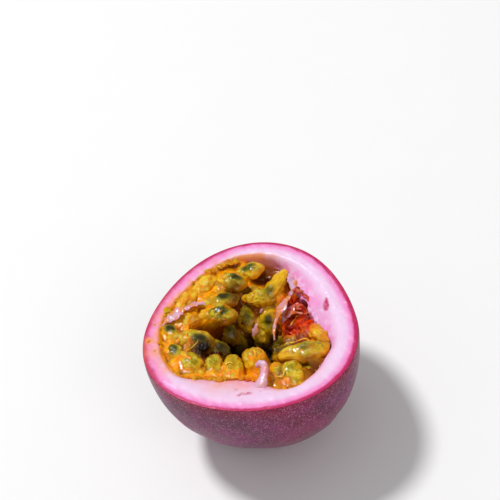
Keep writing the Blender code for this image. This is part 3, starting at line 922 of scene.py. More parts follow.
def streaks(shader):
    """Lengthwise fibres, from a sac's own coordinates: one fine and one coarse mask."""
    stretched = shader.times(shader.mask("along"), 0.22)
    lean = shader.times(shader.noise(300.0, detail=2.0), 0.8)
    along = {"X": shader.mask("round"), "Y": stretched, "Z": lean}
    place = shader.node("ShaderNodeCombineXYZ", along).outputs["Vector"]
    values = {"Vector": place, "Scale": 2.4, "Detail": 4.0, "Roughness": 0.6, "Distortion": 0.4}
    fine = shader.node("ShaderNodeTexNoise", values).outputs["Fac"]
    coarse = shader.node("ShaderNodeTexNoise", {"Vector": place, "Scale": 0.8, "Detail": 2.0}).outputs["Fac"]
    return fine, coarse


def juice_material(colours):
    """The sacs: clear green juice on top of the seed, orange and fibrous sides, brown painted shade where
    sacs touch.
    """
    paint = Paint("passion_juice", colours.orange_red)
    fine, coarse = streaks(paint)
    flow = paint.noise(220.0, detail=3.0, distortion=0.8)
    fold = paint.noise(420.0, detail=3.0, roughness=0.5, distortion=1.0)
    mottle = paint.noise(440.0, detail=2.0, roughness=0.5, distortion=1.2)
    paint.coat(paint.ranged(flow, 0.3, 0.55, 0.3, 1.0), colours.orange)
    ripe = paint.between(fine, 0.4, 0.62, colours.orange, colours.yellow)
    paint.coat(paint.ranged(coarse, 0.3, 0.52), ripe)
    clear = paint.times(paint.mask("clear"), paint.ranged(flow, 0.35, 0.62, 1.0, 0.5))
    greener = paint.times(clear, paint.ranged(paint.mask("green"), 0.0, 0.5, 0.15, 1.0))
    paint.coat(greener, paint.between(fold, 0.4, 0.62, colours.green, colours.olive))
    # Random darker mottles, in the same brown as the painted shade.
    paint.coat(paint.ranged(mottle, 0.54, 0.68, 0.0, 0.16), colours.crevice_shade)
    # Painted highlights: pale glare on the clear tops, and paler streaks on the sacs' upper sides.
    paint.coat(paint.times(paint.times(clear, paint.ranged(mottle, 0.5, 0.36)), 0.85), colours.pale)
    top = paint.ranged(paint.mask("upward"), 0.0, 0.7)
    paint.coat(paint.times(top, paint.ranged(fine, 0.55, 0.64, 0.0, 0.55)), colours.pale)
    # Painted light: yellower where the light spots are.
    paint.coat(paint.times(paint.mask("light"), paint.ranged(flow, 0.35, 0.6, 0.3, 0.75)), colours.yellow)
    upward = paint.plus(paint.mask("upward"), paint.ranged(flow, 0.3, 0.7, -0.25, 0.25))
    paint.coat(paint.ranged(upward, 0.3, -0.3, 0.0, 0.85), colours.orange)
    # Painted shade on the sacs' undersides.
    paint.coat(paint.ranged(upward, -0.2, -0.8, 0.0, 0.9), colours.crevice_shade)
    seen = paint.times(paint.mask("seed_seen"), paint.ranged(fold, 0.35, 0.65, 1.1, 0.7))
    paint.coat(paint.ranged(seen, 0.05, 0.7, 0.0, 0.85), colours.seed_rim)
    paint.coat(paint.ranged(seen, 0.4, 1.0, 0.0, 0.9), colours.seed)
    # Painted shade where sacs touch.
    paint.coat(paint.ranged(paint.mask("crevice_shade"), 0.0, 0.9, 0.0, 0.85), colours.crevice_shade)
    paint.raw_flesh(colours, flow, 0.35, 0.6)
    # Painted shade down the well and in the dark spots.
    paint.coat(paint.mask("shaded"), colours.shaded)
    paint.wet(1000.0, 0.6, 0.06, 0.25)
    paint.bumped(fine, 0.6, 0.4 * MM)
    paint.flesh(0.3, (1.0, 0.45, 0.12), 1.0 * MM)
    return paint.finished(
        {
            "IOR": 1.36,
            "Transmission Weight": 0.08,
            "Specular IOR Level": 0.2,
            "Coat Weight": 0.4,
            "Coat Roughness": 0.02,
        }
    )


def bed_material(colours):
    """The bed under the sacs: fibrous orange pulp, with painted shade: browner in its folds, dark down the
    well.
    """
    paint = Paint("passion_bed", colours.orange_red)
    flow = paint.noise(170.0, detail=3.0, distortion=1.2)
    fibres = paint.noise(460.0, detail=3.0, distortion=2.0)
    paint.coat(paint.ranged(flow, 0.3, 0.55, 0.35, 1.0), colours.orange)
    paint.coat(paint.ranged(fibres, 0.42, 0.68, 0.0, 0.7), colours.yellow)
    greener = paint.noise(330.0, detail=2.0, distortion=1.0)
    paint.coat(paint.ranged(greener, 0.48, 0.66, 0.0, 0.6), colours.olive)
    # Painted shade: brown in the folds and lower down, dark down the well.
    paint.coat(paint.mask("low"), colours.crevice_shade)
    paint.coat(paint.mask("shaded"), colours.shaded)
    paint.raw_flesh(colours, fibres, 0.4, 0.6)
    paint.wet(600.0, 0.35, 0.08, 0.3)
    paint.bumped(fibres, 0.4, 0.4 * MM)
    paint.flesh(0.15, (1.0, 0.45, 0.12), 1.0 * MM)
    return paint.finished({"Specular IOR Level": 0.2, "Coat Weight": 0.25, "Coat Roughness": 0.03})


def fibre_material(colours):
    """Threads and veils of the pulp: wet, yellow to orange."""
    paint = Paint("passion_fibre", colours.orange)
    flow = paint.noise(500.0, detail=3.0, distortion=1.0)
    paint.coat(paint.ranged(flow, 0.35, 0.55), colours.yellow)
    paint.coat(paint.ranged(flow, 0.6, 0.75, 0.0, 0.6), colours.orange_red)
    # Painted shade down the well.
    paint.coat(paint.mask("shaded"), colours.shaded)
    paint.wet(900.0, 0.25, 0.08, 0.25)
    paint.flesh(0.3, (1.0, 0.5, 0.15), 0.6 * MM)
    return paint.finished({"Coat Weight": 0.4, "Coat Roughness": 0.04})


def drop_material(colours):
    """Loose drops of juice: clear orange, yellower and redder in patches."""
    paint = Paint("passion_drop", colours.orange)
    flow = paint.noise(600.0, detail=3.0)
    paint.coat(paint.ranged(flow, 0.4, 0.7), colours.yellow)
    paint.coat(paint.ranged(flow, 0.42, 0.3, 0.0, 0.7), colours.orange_red)
    paint.wet(1500.0, 0.1, 0.03, 0.1)
    paint.flesh(0.4, (1.0, 0.5, 0.15), 0.8 * MM)
    return paint.finished({"IOR": 1.35, "Transmission Weight": 0.35})


def seed_material(colours):
    """A seed: nearly black, with a greener edge and a pitted coat."""
    paint = Paint("passion_seed", colours.seed)
    cells = paint.noise(1500.0, detail=3.0)
    paint.coat(paint.ranged(cells, 0.4, 0.7), colours.seed_rim)
    paint.bumped(cells, 0.4, 0.15 * MM)
    return paint.finished({"Roughness": 0.3})


def membrane_material(colours):
    """Torn skins and the strand: pale pink pith, wet, with juice soaked in patches."""
    paint = Paint("passion_membrane", colours.white)
    flow = paint.noise(380.0, detail=5.0, distortion=0.8)
    paint.coat(paint.ranged(flow, 0.35, 0.62), colours.pith_wall)
    paint.coat(paint.mask("jelly"), colours.jelly)
    paint.coat(paint.times(paint.mask("stain"), 0.85), colours.orange)
    paint.raw_flesh(colours, flow, 0.4, 0.6)
    paint.wet(1200.0, 0.3, 0.12, 0.35)
    paint.flesh(0.4, (1.0, 0.5, 0.5), 1.0 * MM)
    return paint.finished({"Transmission Weight": 0.15, "Coat Weight": 0.3, "Coat Roughness": 0.06})


def bowl_skin(form, sizes, angle, rim):
    """The skin, row by row from the pole up: the reach at falls from 0 to the rim, slightly uneven."""
    fall = rim * equal_steps(SKIN_ROWS)
    skin = form.on_fall(angle, fall, form.skin_reach(angle, fall))
    skin += (MM * uneven(skin, (0.1, 9, 11)))[..., None] * (skin - form.pivot) / sizes.half_length
    skin[..., 2] = np.maximum(skin[..., 2], 0)
    return skin


def bowl_cut(form, outer, inner):
    """The cut: a quarter circle over its edge, then straight in to the lip. Also how far in each row is."""
    across = np.linalg.norm((outer - inner)[..., :2], axis=-1)
    quarter = math.pi / 2 * equal_steps(EDGE_ROWS) + 0 * across
    straight = CUT_EDGE + (across - CUT_EDGE) * equal_steps(CUT_ROWS)
    step_in = np.concatenate((CUT_EDGE * (1 - np.cos(quarter)), straight))
    cut = outer + (inner - outer) / across[..., None] * step_in[..., None]
    cut[..., 2] = form.cut
    cut[:EDGE_ROWS, :, 2] += CUT_EDGE * (np.sin(quarter) - 1)
    cut[..., 2] += MM * uneven(cut, (0.07, 4, 12), (0.05, 1.5, 13)) * smooth_step(0, 1 * MM, step_in)
    return cut, step_in


def bowl_wall(form, angle, lip):
    """The cavity's wall, row by row from the lip down: its reach, with fibres, coarser in the torn pit.

    Also how far down each row is, as a share, and how far into the pit each point is.
    """
    down = np.concatenate((equal_steps(UPPER_WALL_ROWS), 1 + equal_steps(LOWER_WALL_ROWS)[:-1])) / 2
    fall = lip * (1 - down)
    wall = form.on_fall(angle, fall, form.wall_reach(angle, fall))
    pit = np.exp(-(form.from_pit(angle, fall) ** 2))
    fibres = uneven(wall, (0.1, 2.2, 14), (0.06, 0.9, 15))
    fibres = fibres + pit * uneven(wall, (0.35, 2.6, 16), (0.2, 1.1, 17))
    arm = wall - form.pivot
    arm /= np.linalg.norm(arm, axis=-1)[..., None]
    wall += arm * (MM * fibres * smooth_step(0, 0.08, down))[..., None]
    return wall, down, pit


def make_bowl(form, sizes, colours):
    """The peel, from the pole it rests on, up the skin, over the cut, and down the cavity to its floor."""
    angle = ring_turns(sizes.around)
    rim = form.rim_fall(angle)
    lip = form.lip_fall(angle)
    outer = form.on_fall(angle, rim, form.skin_reach(angle, rim))
    inner = form.on_fall(angle, lip, form.wall_reach(angle, lip))
    skin = bowl_skin(form, sizes, angle, rim)
    skin[-1] = outer - np.array((0, 0, CUT_EDGE))
    cut, step_in = bowl_cut(form, outer, inner)
    wall, down, pit = bowl_wall(form, angle, lip)
    grid = np.concatenate((skin, cut, wall))
    by_lip = len(skin) + len(cut) + np.arange(-12, 14)
    for _ in range(24):
        grid[by_lip] = (grid[by_lip - 1] + 2 * grid[by_lip] + grid[by_lip + 1]) / 4

    def masked(*values):
        """A mask of the whole grid, from its values on the skin, the cut and the wall."""
        parts = zip(values, (skin, cut, wall))
        return np.concatenate([np.broadcast_to(value, part.shape[:2]) for value, part in parts])

    across = step_in[-1]
    from_skin = masked(0, step_in, across + np.linalg.norm(wall - inner, axis=-1))
    wider_line = 1.2 * MM * np.cos(angle / 2) ** 4 * np.exp(-from_skin / (1.3 * MM))
    smeared = smear_mask(angle, masked(9 * MM, across - step_in, 0), grid)
    masks = {
        "from_skin": from_skin * (1 - 0.35 * upper_left(angle)) - wider_line,
        "inside": masked(0, 0, smooth_step(0.004, 0.05, down)),
        "torn": masked(0, 0, smooth_step(0.15, 0.75, pit)),
        "by_cut": 0.7 * smooth_step(5 * MM, 0, form.cut - grid[..., 2]),
        "stain": np.maximum(form.spots(grid, STAINS), smeared),
        "red_spot": red_marks(form, grid),
    }
    base = np.array((form.pivot[0], form.pivot[1], 0))
    poles = np.stack((base, form.bottom()))[None]
    made = closed_pieces("peel_bowl", poles, grid[None], masks, skin_material(colours, sizes))
    made.data.materials.append(pith_material(colours, sizes))
    skin_faces = (len(skin) + 1) * sizes.around
    ids = np.zeros(len(made.data.polygons), np.int32)
    ids[skin_faces : len(ids) - 2 * sizes.around] = 1
    ids[len(ids) - sizes.around :] = 1
    made.data.polygons.foreach_set("material_index", ids)
    return made


def over_arc(angle, rises, falls):
    """1 along an arc, easing in and out over the degrees given for each end, and 0 elsewhere."""
    degrees = np.degrees(angle)
    return smooth_step(*rises, degrees) * smooth_step(*falls, degrees)


def upper_left(angle):
    """1 along the upper left of the cut, where pulp has run over its edge, and 0 elsewhere."""
    return over_arc(angle, (84, 104), (216, 196))


def smear_mask(angle, from_lip, points):
    """Juice on the pith: over the cut's inner edge at the upper left, and just below it from the top on."""
    ragged = np.maximum(1.9 + uneven(points, (1.2, 3, 18), (0.7, 1.2, 19)), 0.2)
    on_cut = 0.8 * upper_left(angle) * smooth_step(1.0, 0.1, from_lip / MM / ragged)
    down_wall = over_arc(angle, (58, 76), (216, 196))
    return np.maximum(on_cut, down_wall * smooth_step(0.8 * MM, 0.0, from_lip))


def red_marks(form, points):
    """Crimson marks in the pith: an upright one on the right, and a few small ones under the strand."""
    by_cut = smooth_step(3.2 * MM, 1.6 * MM, form.cut - points[..., 2])
    level = points * (1, 1, 0) + (0, 0, form.cut)
    upright = smooth_step(0.1, 0.8, form.total_near(points, UPRIGHT_MARK))
    low = smooth_step(0.1, 1.2, by_cut * form.total_near(level, LOW_MARKS))
    return np.clip(upright + low * (0.55 + uneven(points, (0.35, 1.1, 27))), 0, 1)


class Sacs:
    """All the sacs: an array for each of their values, with a row for each sac."""

    def __init__(self, form):
        rows = [list(row) for row in BARE_SACS + WELL_SACS]
        for ring, (count, distance, depth, pitch) in enumerate(WELL_RINGS):
            for step in range(count):
                angle = TURN * step / count + (ring + 1) * TURN_OF_RING
                x = WELL_CENTRE[0] + distance * math.cos(angle)
                y = WELL_CENTRE[1] + distance * math.sin(angle)
                rows.append([x, y, depth, *RING_SAC, math.degrees(angle + math.pi), pitch, *RING_LOOKS])
        table = np.array(rows, float)
        length, width, heading, pitch, self.green, self.clear, seed_along = table.T[3:]
        self.centres = form.at(table[:, :3])
        self.halves = np.stack((width, width * SAC_FLATNESS, length), axis=-1) / 2 * MM
        heading, pitch = np.radians((heading, pitch))
        free = ways_down(pitch + math.pi / 2, heading)
        side = np.stack((-np.sin(heading), np.cos(heading), 0 * heading), axis=-1)
        self.axes = np.stack((side, np.cross(free, side), free), axis=1)
        lift = (SEED_LIFT * 2 * self.halves[:, :1]) * np.array((0, 0, 1.0))
        self.seeds = self.centres + seed_along[:, None] * 2 * self.halves[:, 2:] * free + lift

    def turned(self, local):
        """Offsets along each sac's side, up and free end, as offsets along x, y and z."""
        return np.einsum("nrak,nkj->nraj", local, self.axes)

    def tips(self, middles, reach):
        """The two poles of a ball along each sac's axis."""
        return middles[:, None] + np.array([[-1.0], [1.0]]) * reach * self.axes[:, 2][:, None]

    def share_to_others(self, points):
        """How far a sac's points are from the nearest other sac's middle, as a share of its half sizes."""
        nearest = np.full(points.shape[:-1], FAR)
        for number, (centre, axes, half) in enumerate(zip(self.centres, self.axes, self.halves)):
            distance = np.linalg.norm((points - centre) @ axes.T / half, axis=-1)
            distance[number] = FAR
            nearest = np.minimum(nearest, distance)
        return nearest


def make_sacs(form, sizes, colours):
    """The juice sacs: each a ball drawn out along its axis, narrow where it hangs, flattened and wrinkled.

    With s from -1 at the root to 1 at the free end, the half width is w/2 sqrt(1 - s^2), less at the root.
    """
    sacs = Sacs(form)
    polar, turn = ball_angles(38, 46)
    s = -np.cos(polar)
    draw = np.random.default_rng(20)
    bend = draw.uniform(-0.14, 0.14, (len(sacs.centres), 2))[:, :, None, None] * (1 - s * s)
    width, _, length = sacs.halves.T[..., None, None]
    girth = np.sqrt(1 - s**2) * (1 - SAC_TAPER * smooth_step(1.0, -1.0, s))
    local = np.stack(
        (
            width * (girth * np.cos(turn) + bend[:, 0]),
            width * (SAC_FLATNESS * girth * np.sin(turn) + 0.5 * bend[:, 1]),
            length * (s + 0.1 * (s * s - 1)) + 0 * turn,
        ),
        axis=-1,
    )
    outward = sacs.turned(local)
    grid = sacs.centres[:, None, None] + outward
    away = outward / np.linalg.norm(outward, axis=-1)[..., None]
    bumps = uneven(grid, (0.3, 5, 21), (0.2, 2.2, 22), (0.08, 1.1, 23))
    grid = grid + away * (MOST_BUMP * np.tanh(bumps * MM / MOST_BUMP))[..., None]
    pleats = np.sin(11 * turn + uneven(grid, (5, 7, 24))) * girth**2
    grid = grid + away * (0.07 * MM * pleats)[..., None]
    seen = seed_seen(sizes, sacs, grid)
    # Painted shade where a sac comes near another.
    crevice_shade = smooth_step(1.35, 0.98, sacs.share_to_others(grid))
    grid = form.held_inside(grid, SAC_CLEARANCE)
    depth = form.cut - grid[..., 2]
    # Painted light and painted shade spots, and painted shade down the well and round it.
    light, dark = form.spots(grid, LIGHT_SPOTS), form.spots(grid, DARK_SPOTS)
    shade = np.maximum(0.95 * smooth_step(5 * MM, 14 * MM, depth), 0.75 * by_well(form, grid))
    masks = {
        "green": sacs.green[:, None, None],
        "clear": clear_top(sacs, local),
        # How far up a sac's side a point is, raised by the painted light spots.
        "upward": local[..., 1] / (width * SAC_FLATNESS) + 0.7 * light,
        "seed_seen": seen,
        "shaded": np.maximum((1 - light) * shade, dark),
        "crevice_shade": (1 - light) * crevice_shade * smooth_step(0.5 * MM, 4 * MM, depth),
        "light": light,
        "torn": form.spots(grid, TORN_SPOTS),
        "along": s * length / MM,
        "round": width / MM * np.sin(turn / 2),
    }
    ends = form.held_inside(sacs.tips(sacs.centres, length), SAC_CLEARANCE)
    return closed_pieces("juice_sacs", ends, grid, masks, juice_material(colours))


def by_well(form, points):
    """The shade round the well: 1 at its edge, 0 from some millimetres out and up at the cut."""
    depth = (form.cut - points[..., 2]) / MM
    return smooth_step(12.0, 6.5, form.from_well(points)) * smooth_step(0.8, 4.0, depth)


def clear_top(sacs, local):
    """1 on the middle of a sac's upper side, where its juice looks clear, and 0 at its sides and ends."""
    share = local / sacs.halves[:, None, None]
    beside = np.hypot(share[..., 0], share[..., 2])
    return smooth_step(1.08, 0.5, beside) * smooth_step(-0.15, 0.45, share[..., 1])


def seed_seen(sizes, sacs, grid):
    """How much of the seed shows through each point of a sac: 1 over the seed, fading past its edge."""
    local = np.einsum("nraj,nkj->nrak", grid - sacs.seeds[:, None, None], sacs.axes)
    beside = np.hypot(local[..., 0] / (sizes.seed_width / 2), local[..., 2] / (sizes.seed_length / 2))
    above = smooth_step(0.2 * MM, 1.2 * MM, local[..., 1])
    return sacs.clear[:, None, None] * smooth_step(1.2, 0.15, beside) * above


def make_seeds(form, sizes, colours):
    """The seeds: flattened drops, blunt at one end, inside their sacs and scaled to them if need be."""
    sacs = Sacs(form)
    polar, turn = ball_angles(12, 16)
    s = -np.cos(polar)
    girth = sizes.seed_width / 2 * np.sqrt(1 - s**2) * (1 - 0.3 * smooth_step(0.0, 1.0, s))
    along = sizes.seed_length / 2 * s + 0 * turn
    local = np.stack((girth * np.cos(turn), SEED_FLATNESS * girth * np.sin(turn), along), axis=-1)
    width, _, length = 2 * sacs.halves.T
    room = np.minimum(0.56 * length / sizes.seed_length, 0.6 * width / sizes.seed_width)
    scale = np.minimum(room, 1)[:, None, None]
    grid = sacs.seeds[:, None, None] + sacs.turned(local * scale[..., None])
    ends = sacs.tips(sacs.seeds, sizes.seed_length / 2 * scale)
    grid, ends = (form.held_inside(points, SEED_CLEARANCE) for points in (grid, ends))
    return closed_pieces("seeds", ends, grid, {}, seed_material(colours))


def ball_hits(origin, ways, sacs, size):
    """How far along each ray the first sac is, drawn at this size. Rays that miss them all get infinity."""
    nearest = np.full(ways.shape[:-1], np.inf)
    for centre, axes, half in zip(sacs.centres, sacs.axes, size * sacs.halves):
        start = ((origin - centre) @ axes.T) / half
        run = (ways @ axes.T) / half
        a = (run**2).sum(-1)
        b = run @ start
        c = start @ start - 1
        inside = b * b - a * c
        hit = (-b - np.sqrt(np.maximum(inside, 0))) / a
        nearest = np.where((inside > 0) & (hit > 0), np.minimum(nearest, hit), nearest)
    return nearest


def bed_free(form, points):
    """Where the bed leaves room: above its top, down the well and in the deep gaps, clear of the wall."""
    angle, fall, distance = form.seen_from_pivot(points)
    in_wall = distance < form.wall_reach(angle, fall) - 0.5 * MM
    depth = (form.cut - points[..., 2]) / MM
    radii, depths = np.array(WELL).T
    round_well = np.interp(depth, depths, radii, left=radii[0], right=0.0)
    free = (depth < read_round(all_round(BED_ROUND)[1], angle)) | (form.from_well(points) < round_well)
    for *place, radius in DEEP_GAPS:
        free |= np.linalg.norm(points - form.at(place), axis=-1) < radius * MM
    return in_wall & free


def free_reach(form, ways, halvings):
    """How far rays from above the well go through the bed's free space, by halving the range they end in."""
    low, high = np.zeros(ways.shape[:-1]), np.full(ways.shape[:-1], LONGEST_RAY)
    for _ in range(halvings):
        middle = (low + high) / 2
        free = bed_free(form, form.above_well + ways * middle[..., None])
        low, high = np.where(free, middle, low), np.where(free, high, middle)
    return low


def blurred(values, times):
    """Each value averaged this many times with its four neighbours. The columns run all the way round."""
    for _ in range(times):
        padded = np.pad(np.pad(values, ((0, 0), (1, 1)), mode="wrap"), ((1, 1), (0, 0)), mode="edge")
        beside = padded[:-2, 1:-1] + padded[2:, 1:-1] + padded[1:-1, :-2] + padded[1:-1, 2:]
        values = (beside + 4 * values) / 8
    return values


def bed_top(form, edge):
    """The bed's top, from the bottom of the well out to its edge, that lowest point, and how sunk it is.

    Each ray from above the well stops at the well's wall or at the first sac, a little shrunken. The reaches
    are then smoothed, so that the skin hangs between the sacs.
    """
    sacs = Sacs(form)
    origin = form.above_well
    lean, heading = seen_below(edge - origin)
    share = equal_steps(149)
    ways = ways_down(lean * share, heading)
    reach = np.minimum(free_reach(form, ways, 22), ball_hits(origin, ways, sacs, 0.86))
    reach = blurred(reach, 6)
    spread = origin + ways * reach[..., None]
    reach = reach - MM * uneven(spread, (0.28, 3, 31), (0.2, 1.4, 32), (0.07, 0.8, 33))
    inside = ball_hits(origin, ways, sacs, 0.6)
    reach = np.maximum(reach, np.where(np.isfinite(inside), inside, 0))
    by_edge = smooth_step(0.92, 1.0, share)
    reach = reach * (1 - by_edge) + np.linalg.norm(edge - origin, axis=1) * by_edge
    top = origin + ways * reach[..., None]
    top[-1] = edge
    middle = origin - np.array((0, 0, reach[0].mean()))
    return form.held_inside(top, BED_CLEARANCE), middle, reach - blurred(reach, 40)


def make_bed(form, colours):
    """The bed under the sacs: a skin draped over them, with a back that follows the cavity's wall."""
    angle = np.linspace(0, TURN, 300, endpoint=False)
    edge_depth = read_round(all_round(BED_ROUND)[0], angle) * MM
    edge_fall = form.lip_fall(angle) - edge_depth / form.cavity_radius(angle)
    edge = form.on_wall(angle, edge_fall, BED_CLEARANCE)
    top, middle, sunk = bed_top(form, edge)
    down = np.linspace(1, 0, 14)[1:-1, None]
    back = form.on_wall(angle, edge_fall * down, BED_CLEARANCE)
    grid = np.concatenate((top, back))
    depth = form.cut - grid[..., 2]
    valley = np.concatenate((sunk, 0 * back[..., 0]))
    # Painted shade: dark down the well and in the gap at the top, brown lower down and in the valleys
    # between sacs, less where the light spots are.
    shaded = np.maximum(0.95 * smooth_step(5 * MM, 12 * MM, depth), form.spots(grid, DEEP_SPOTS))
    low = np.maximum(
        0.95 * smooth_step(2.0 * MM, 4.4 * MM, depth), 0.85 * smooth_step(0.15 * MM, 0.9 * MM, valley)
    )
    light, dark = form.spots(grid, LIGHT_SPOTS), form.spots(grid, DARK_SPOTS)
    masks = {
        "shaded": np.maximum(shaded * (1 - light), dark),
        "low": low * (1 - light),
        "torn": form.spots(grid, TORN_SPOTS),
    }
    poles = np.stack((middle, form.bottom(BED_CLEARANCE)))[None]
    return closed_pieces("pulp_bed", poles, grid[None], masks, bed_material(colours))


def make_strand(form, colours):
    """The loose strand of pith: an uneven ellipse carried along its route, curling over at its free end."""
    path = smooth_path(STRAND, 90)
    route, half = form.at(path[:, :3]), path[:, 3] * MM
    grid = swept(route, half, 0.72 * half, 24, twist=1.2)
    away = grid - route[:, None]
    away /= np.linalg.norm(away, axis=-1)[..., None]
    grid = grid + away * (MM * uneven(grid, (0.12, 2.4, 41), (0.06, 0.9, 42)))[..., None]
    stain = 0.5 * smooth_step(-0.2, 0.7, ripples(grid, 4 * MM, 43))
    masks = {"stain": stain, "torn": 0.0, "jelly": 0.25}
    return closed_pieces("pith_strand", route[[0, -1]][None], grid[None], masks, membrane_material(colours))


def make_torn_skins(form, colours):
    """Torn skins: thin wavy ribbons carried along their routes, ragged at their sides."""
    grids, ends, stains, raws, jellies = [], [], [], [], []
    drift = np.array((0.3, 0.3, 1.0)) * MM
    for number, (knots, (orange, raw, jelly)) in enumerate(TORN_SKINS):
        path = smooth_path(knots, 80)
        route = form.at(path[:, :3])
        ragged = np.clip(1 + uneven(route, (0.35, 2.2, 61 + number)), 0.4, 1.7)
        grid = swept(route, path[:, 3] * MM * ragged, np.full(len(path), SKIN_HALF_THICKNESS), 32, twist=0.7)
        waves = uneven(grid, (0.24, 3.2, 51 + number), (0.12, 1.3, 55 + number))
        grids.append(grid + waves[..., None] * drift)
        ends.append(route[[0, -1]] + waves[[0, -1]].mean(axis=1)[:, None] * drift)
        stains.append(smooth_step(1.2 - 2 * orange, 1.6, 1 + uneven(grid, (1, 3, 59 + number))))
        raws.append(np.clip(raw * (1 + uneven(grid, (0.5, 2, 75 + number))), 0, 1))
        jellies.append(np.full(grid.shape[:2], jelly))
    masks = {"stain": np.stack(stains), "torn": np.stack(raws), "jelly": np.stack(jellies)}
    return closed_pieces("torn_skins", np.stack(ends), np.stack(grids), masks, membrane_material(colours))


def make_fibres(form, colours):
    """Threads and veils of the pulp: tubes whose routes are taut between the sacs that they cross."""
    draw = np.random.default_rng(71)
    origin = form.above_well
    angle = np.linspace(0, TURN, 181)
    lip = form.lip_fall(angle)
    lip_lean, lip_heading = seen_below(form.on_wall(angle, lip) - origin)
    lip_heading = np.unwrap(lip_heading)
    lean_at = np.interp(angle, lip_heading - lip_heading[0], lip_lean)
    start = draw.uniform(0, TURN, FIBRES)[:, None]
    out = np.sqrt(draw.uniform(0.12, 0.62, FIBRES))[:, None]
    along = np.linspace(-0.5, 0.5, 14)[None]
    heading = start + draw.normal(0, 0.22, FIBRES)[:, None] * along
    rise = draw.normal(0, 0.12, FIBRES)[:, None] * along
    rise = rise + draw.normal(0, 0.04, FIBRES)[:, None] * (4 * along**2 - 0.5)
    lean = np.clip(out + rise, 0.1, 0.82) * np.interp(heading % TURN, angle, lean_at)
    ways = ways_down(lean, heading)
    reach = np.minimum(free_reach(form, ways, 18), ball_hits(origin, ways, Sacs(form), 1.0))
    taut = reach
    for _ in range(4):
        padded = np.pad(taut, ((0, 0), (1, 1)), mode="edge")
        taut = np.minimum(reach + 0.1 * MM, (padded[:, :-2] + padded[:, 2:]) / 2)
    routes = origin + ways * (taut + 0.05 * MM)[..., None]
    shape = np.sqrt(np.clip(1 - (2 * along[0]) ** 2, 0.02, 1))
    halves = draw.uniform(0.1, 0.26, FIBRES)[:, None] * MM * shape
    tubes = [swept(route, half, np.minimum(half, 0.16 * MM), 10, 0.3) for route, half in zip(routes, halves)]
    grids = form.held_inside(np.stack(tubes), 0.1 * MM)
    # Painted shade down the well.
    shaded = 0.9 * smooth_step(5 * MM, 14 * MM, form.cut - grids[..., 2])
    return closed_pieces("fibres", routes[:, [0, -1]], grids, {"shaded": shaded}, fibre_material(colours))


def make_drops(form, colours):
    """Drops and smears of juice: flattened balls with wavy outlines, at the left of the pulp's edge."""
    draw = np.random.default_rng(81)
    degrees = np.concatenate((draw.uniform(88, 156, CUT_SMEARS), draw.uniform(205, 292, WALL_SMEARS)))
    angle = np.radians(degrees)
    count = len(angle)
    out = form.cavity_radius(angle) + draw.uniform(-0.9, 0.9, count) * MM
    x, y = out * np.cos(angle) / MM, out * np.sin(angle) / MM
    smears = np.stack((x, y, draw.uniform(0.02, 0.1, count)), axis=-1)
    fall = form.lip_fall(angle) - np.radians(draw.uniform(2.4, 4.6, count))
    on_shoulder = form.on_wall(angle, fall, 0.1 * MM) - form.at((0, 0, 0))
    smears[CUT_SMEARS:] = on_shoulder[CUT_SMEARS:] * (1, 1, -1) / MM
    drops = np.array(DROPS)
    sizes = draw.uniform(0.3, 0.95, count)
    centres = form.at(np.concatenate((drops[:, :3], smears)))[:, None, None]
    radii = np.concatenate((drops[:, 3], sizes))[:, None, None] * MM
    heights = np.concatenate((0.5 * drops[:, 3], 0.4 * sizes))[:, None, None] * MM
    polar, turn = ball_angles(10, 28)
    flat = np.stack((np.sin(polar) * np.cos(turn), np.sin(polar) * np.sin(turn), 0 * polar * turn), -1)
    wavy = 1 + uneven(centres + flat * radii[..., None], (0.2, 1.8, 82))
    grid = centres + flat * (radii * wavy)[..., None]
    grid[..., 2] += heights * np.cos(polar)
    ends = centres[:, 0] + np.array([[0, 0, 1.0], [0, 0, -1.0]]) * heights
    return closed_pieces("juice_drops", ends, grid, {}, drop_material(colours))


def make_camera(form):
    """The camera at the photograph's angle: above the near side, turned a little."""
    elevation, roll, distance, lens = math.radians(46.4), math.radians(-11.8), 0.43, 120.9
    aim_right, aim_up = -0.256 * MM, 19.46 * MM
    rim = Vector((form.pivot[0], form.pivot[1], form.cut))
    back = Vector((0, -math.cos(elevation), math.sin(elevation)))
    level = Vector((1, 0, 0))
    raised = back.cross(level)
    right = math.cos(roll) * level + math.sin(roll) * raised
    up = -math.sin(roll) * level + math.cos(roll) * raised
    eye = rim + back * distance
    look = (rim + right * aim_right + up * aim_up - eye).normalized()
    side = look.cross(up).normalized()
    above = side.cross(look)
    camera = bpy.data.objects.new("camera", bpy.data.cameras.new("camera"))
    camera.data.lens = lens
    camera.data.sensor_width = 36
    camera.data.clip_start = 0.01
    bpy.context.scene.collection.objects.link(camera)
    camera.matrix_world = Matrix.Translation(eye) @ Matrix((side, above, -look)).transposed().to_4x4()
    bpy.context.scene.camera = camera


def make_light(name, place, target, size, power):
    light = bpy.data.lights.new(name, "AREA")
    light.shape = "DISK"
    light.size = size
    light.energy = power
    made = bpy.data.objects.new(name, light)
    made.location = place
    made.rotation_euler = (Vector(target) - Vector(place)).to_track_quat("-Z", "Y").to_euler()
    bpy.context.scene.collection.objects.link(made)


def make_floor(colours):
    """A pale round floor, closed and a few millimetres thick, just under the fruit."""
    rings = FLOOR_RADIUS * equal_steps(11) ** 2
    turn = ring_turns(96)
    flat = np.stack((rings * np.cos(turn), rings * np.sin(turn), 0 * rings * turn), axis=-1)
    down = np.array((0, 0, FLOOR_THICKNESS))
    grid = np.concatenate((flat, flat[::-1] - down))
    paint = Paint("pale_floor", colours.floor)
    paint.coat(paint.ranged(paint.noise(60.0, detail=2.0), 0.3, 0.7, 0.0, 0.04), (0.8, 0.8, 0.8))
    poles = np.stack((0 * down, -down))[None]
    return closed_pieces("floor", poles, grid[None], {}, paint.finished({"Roughness": 0.7}))


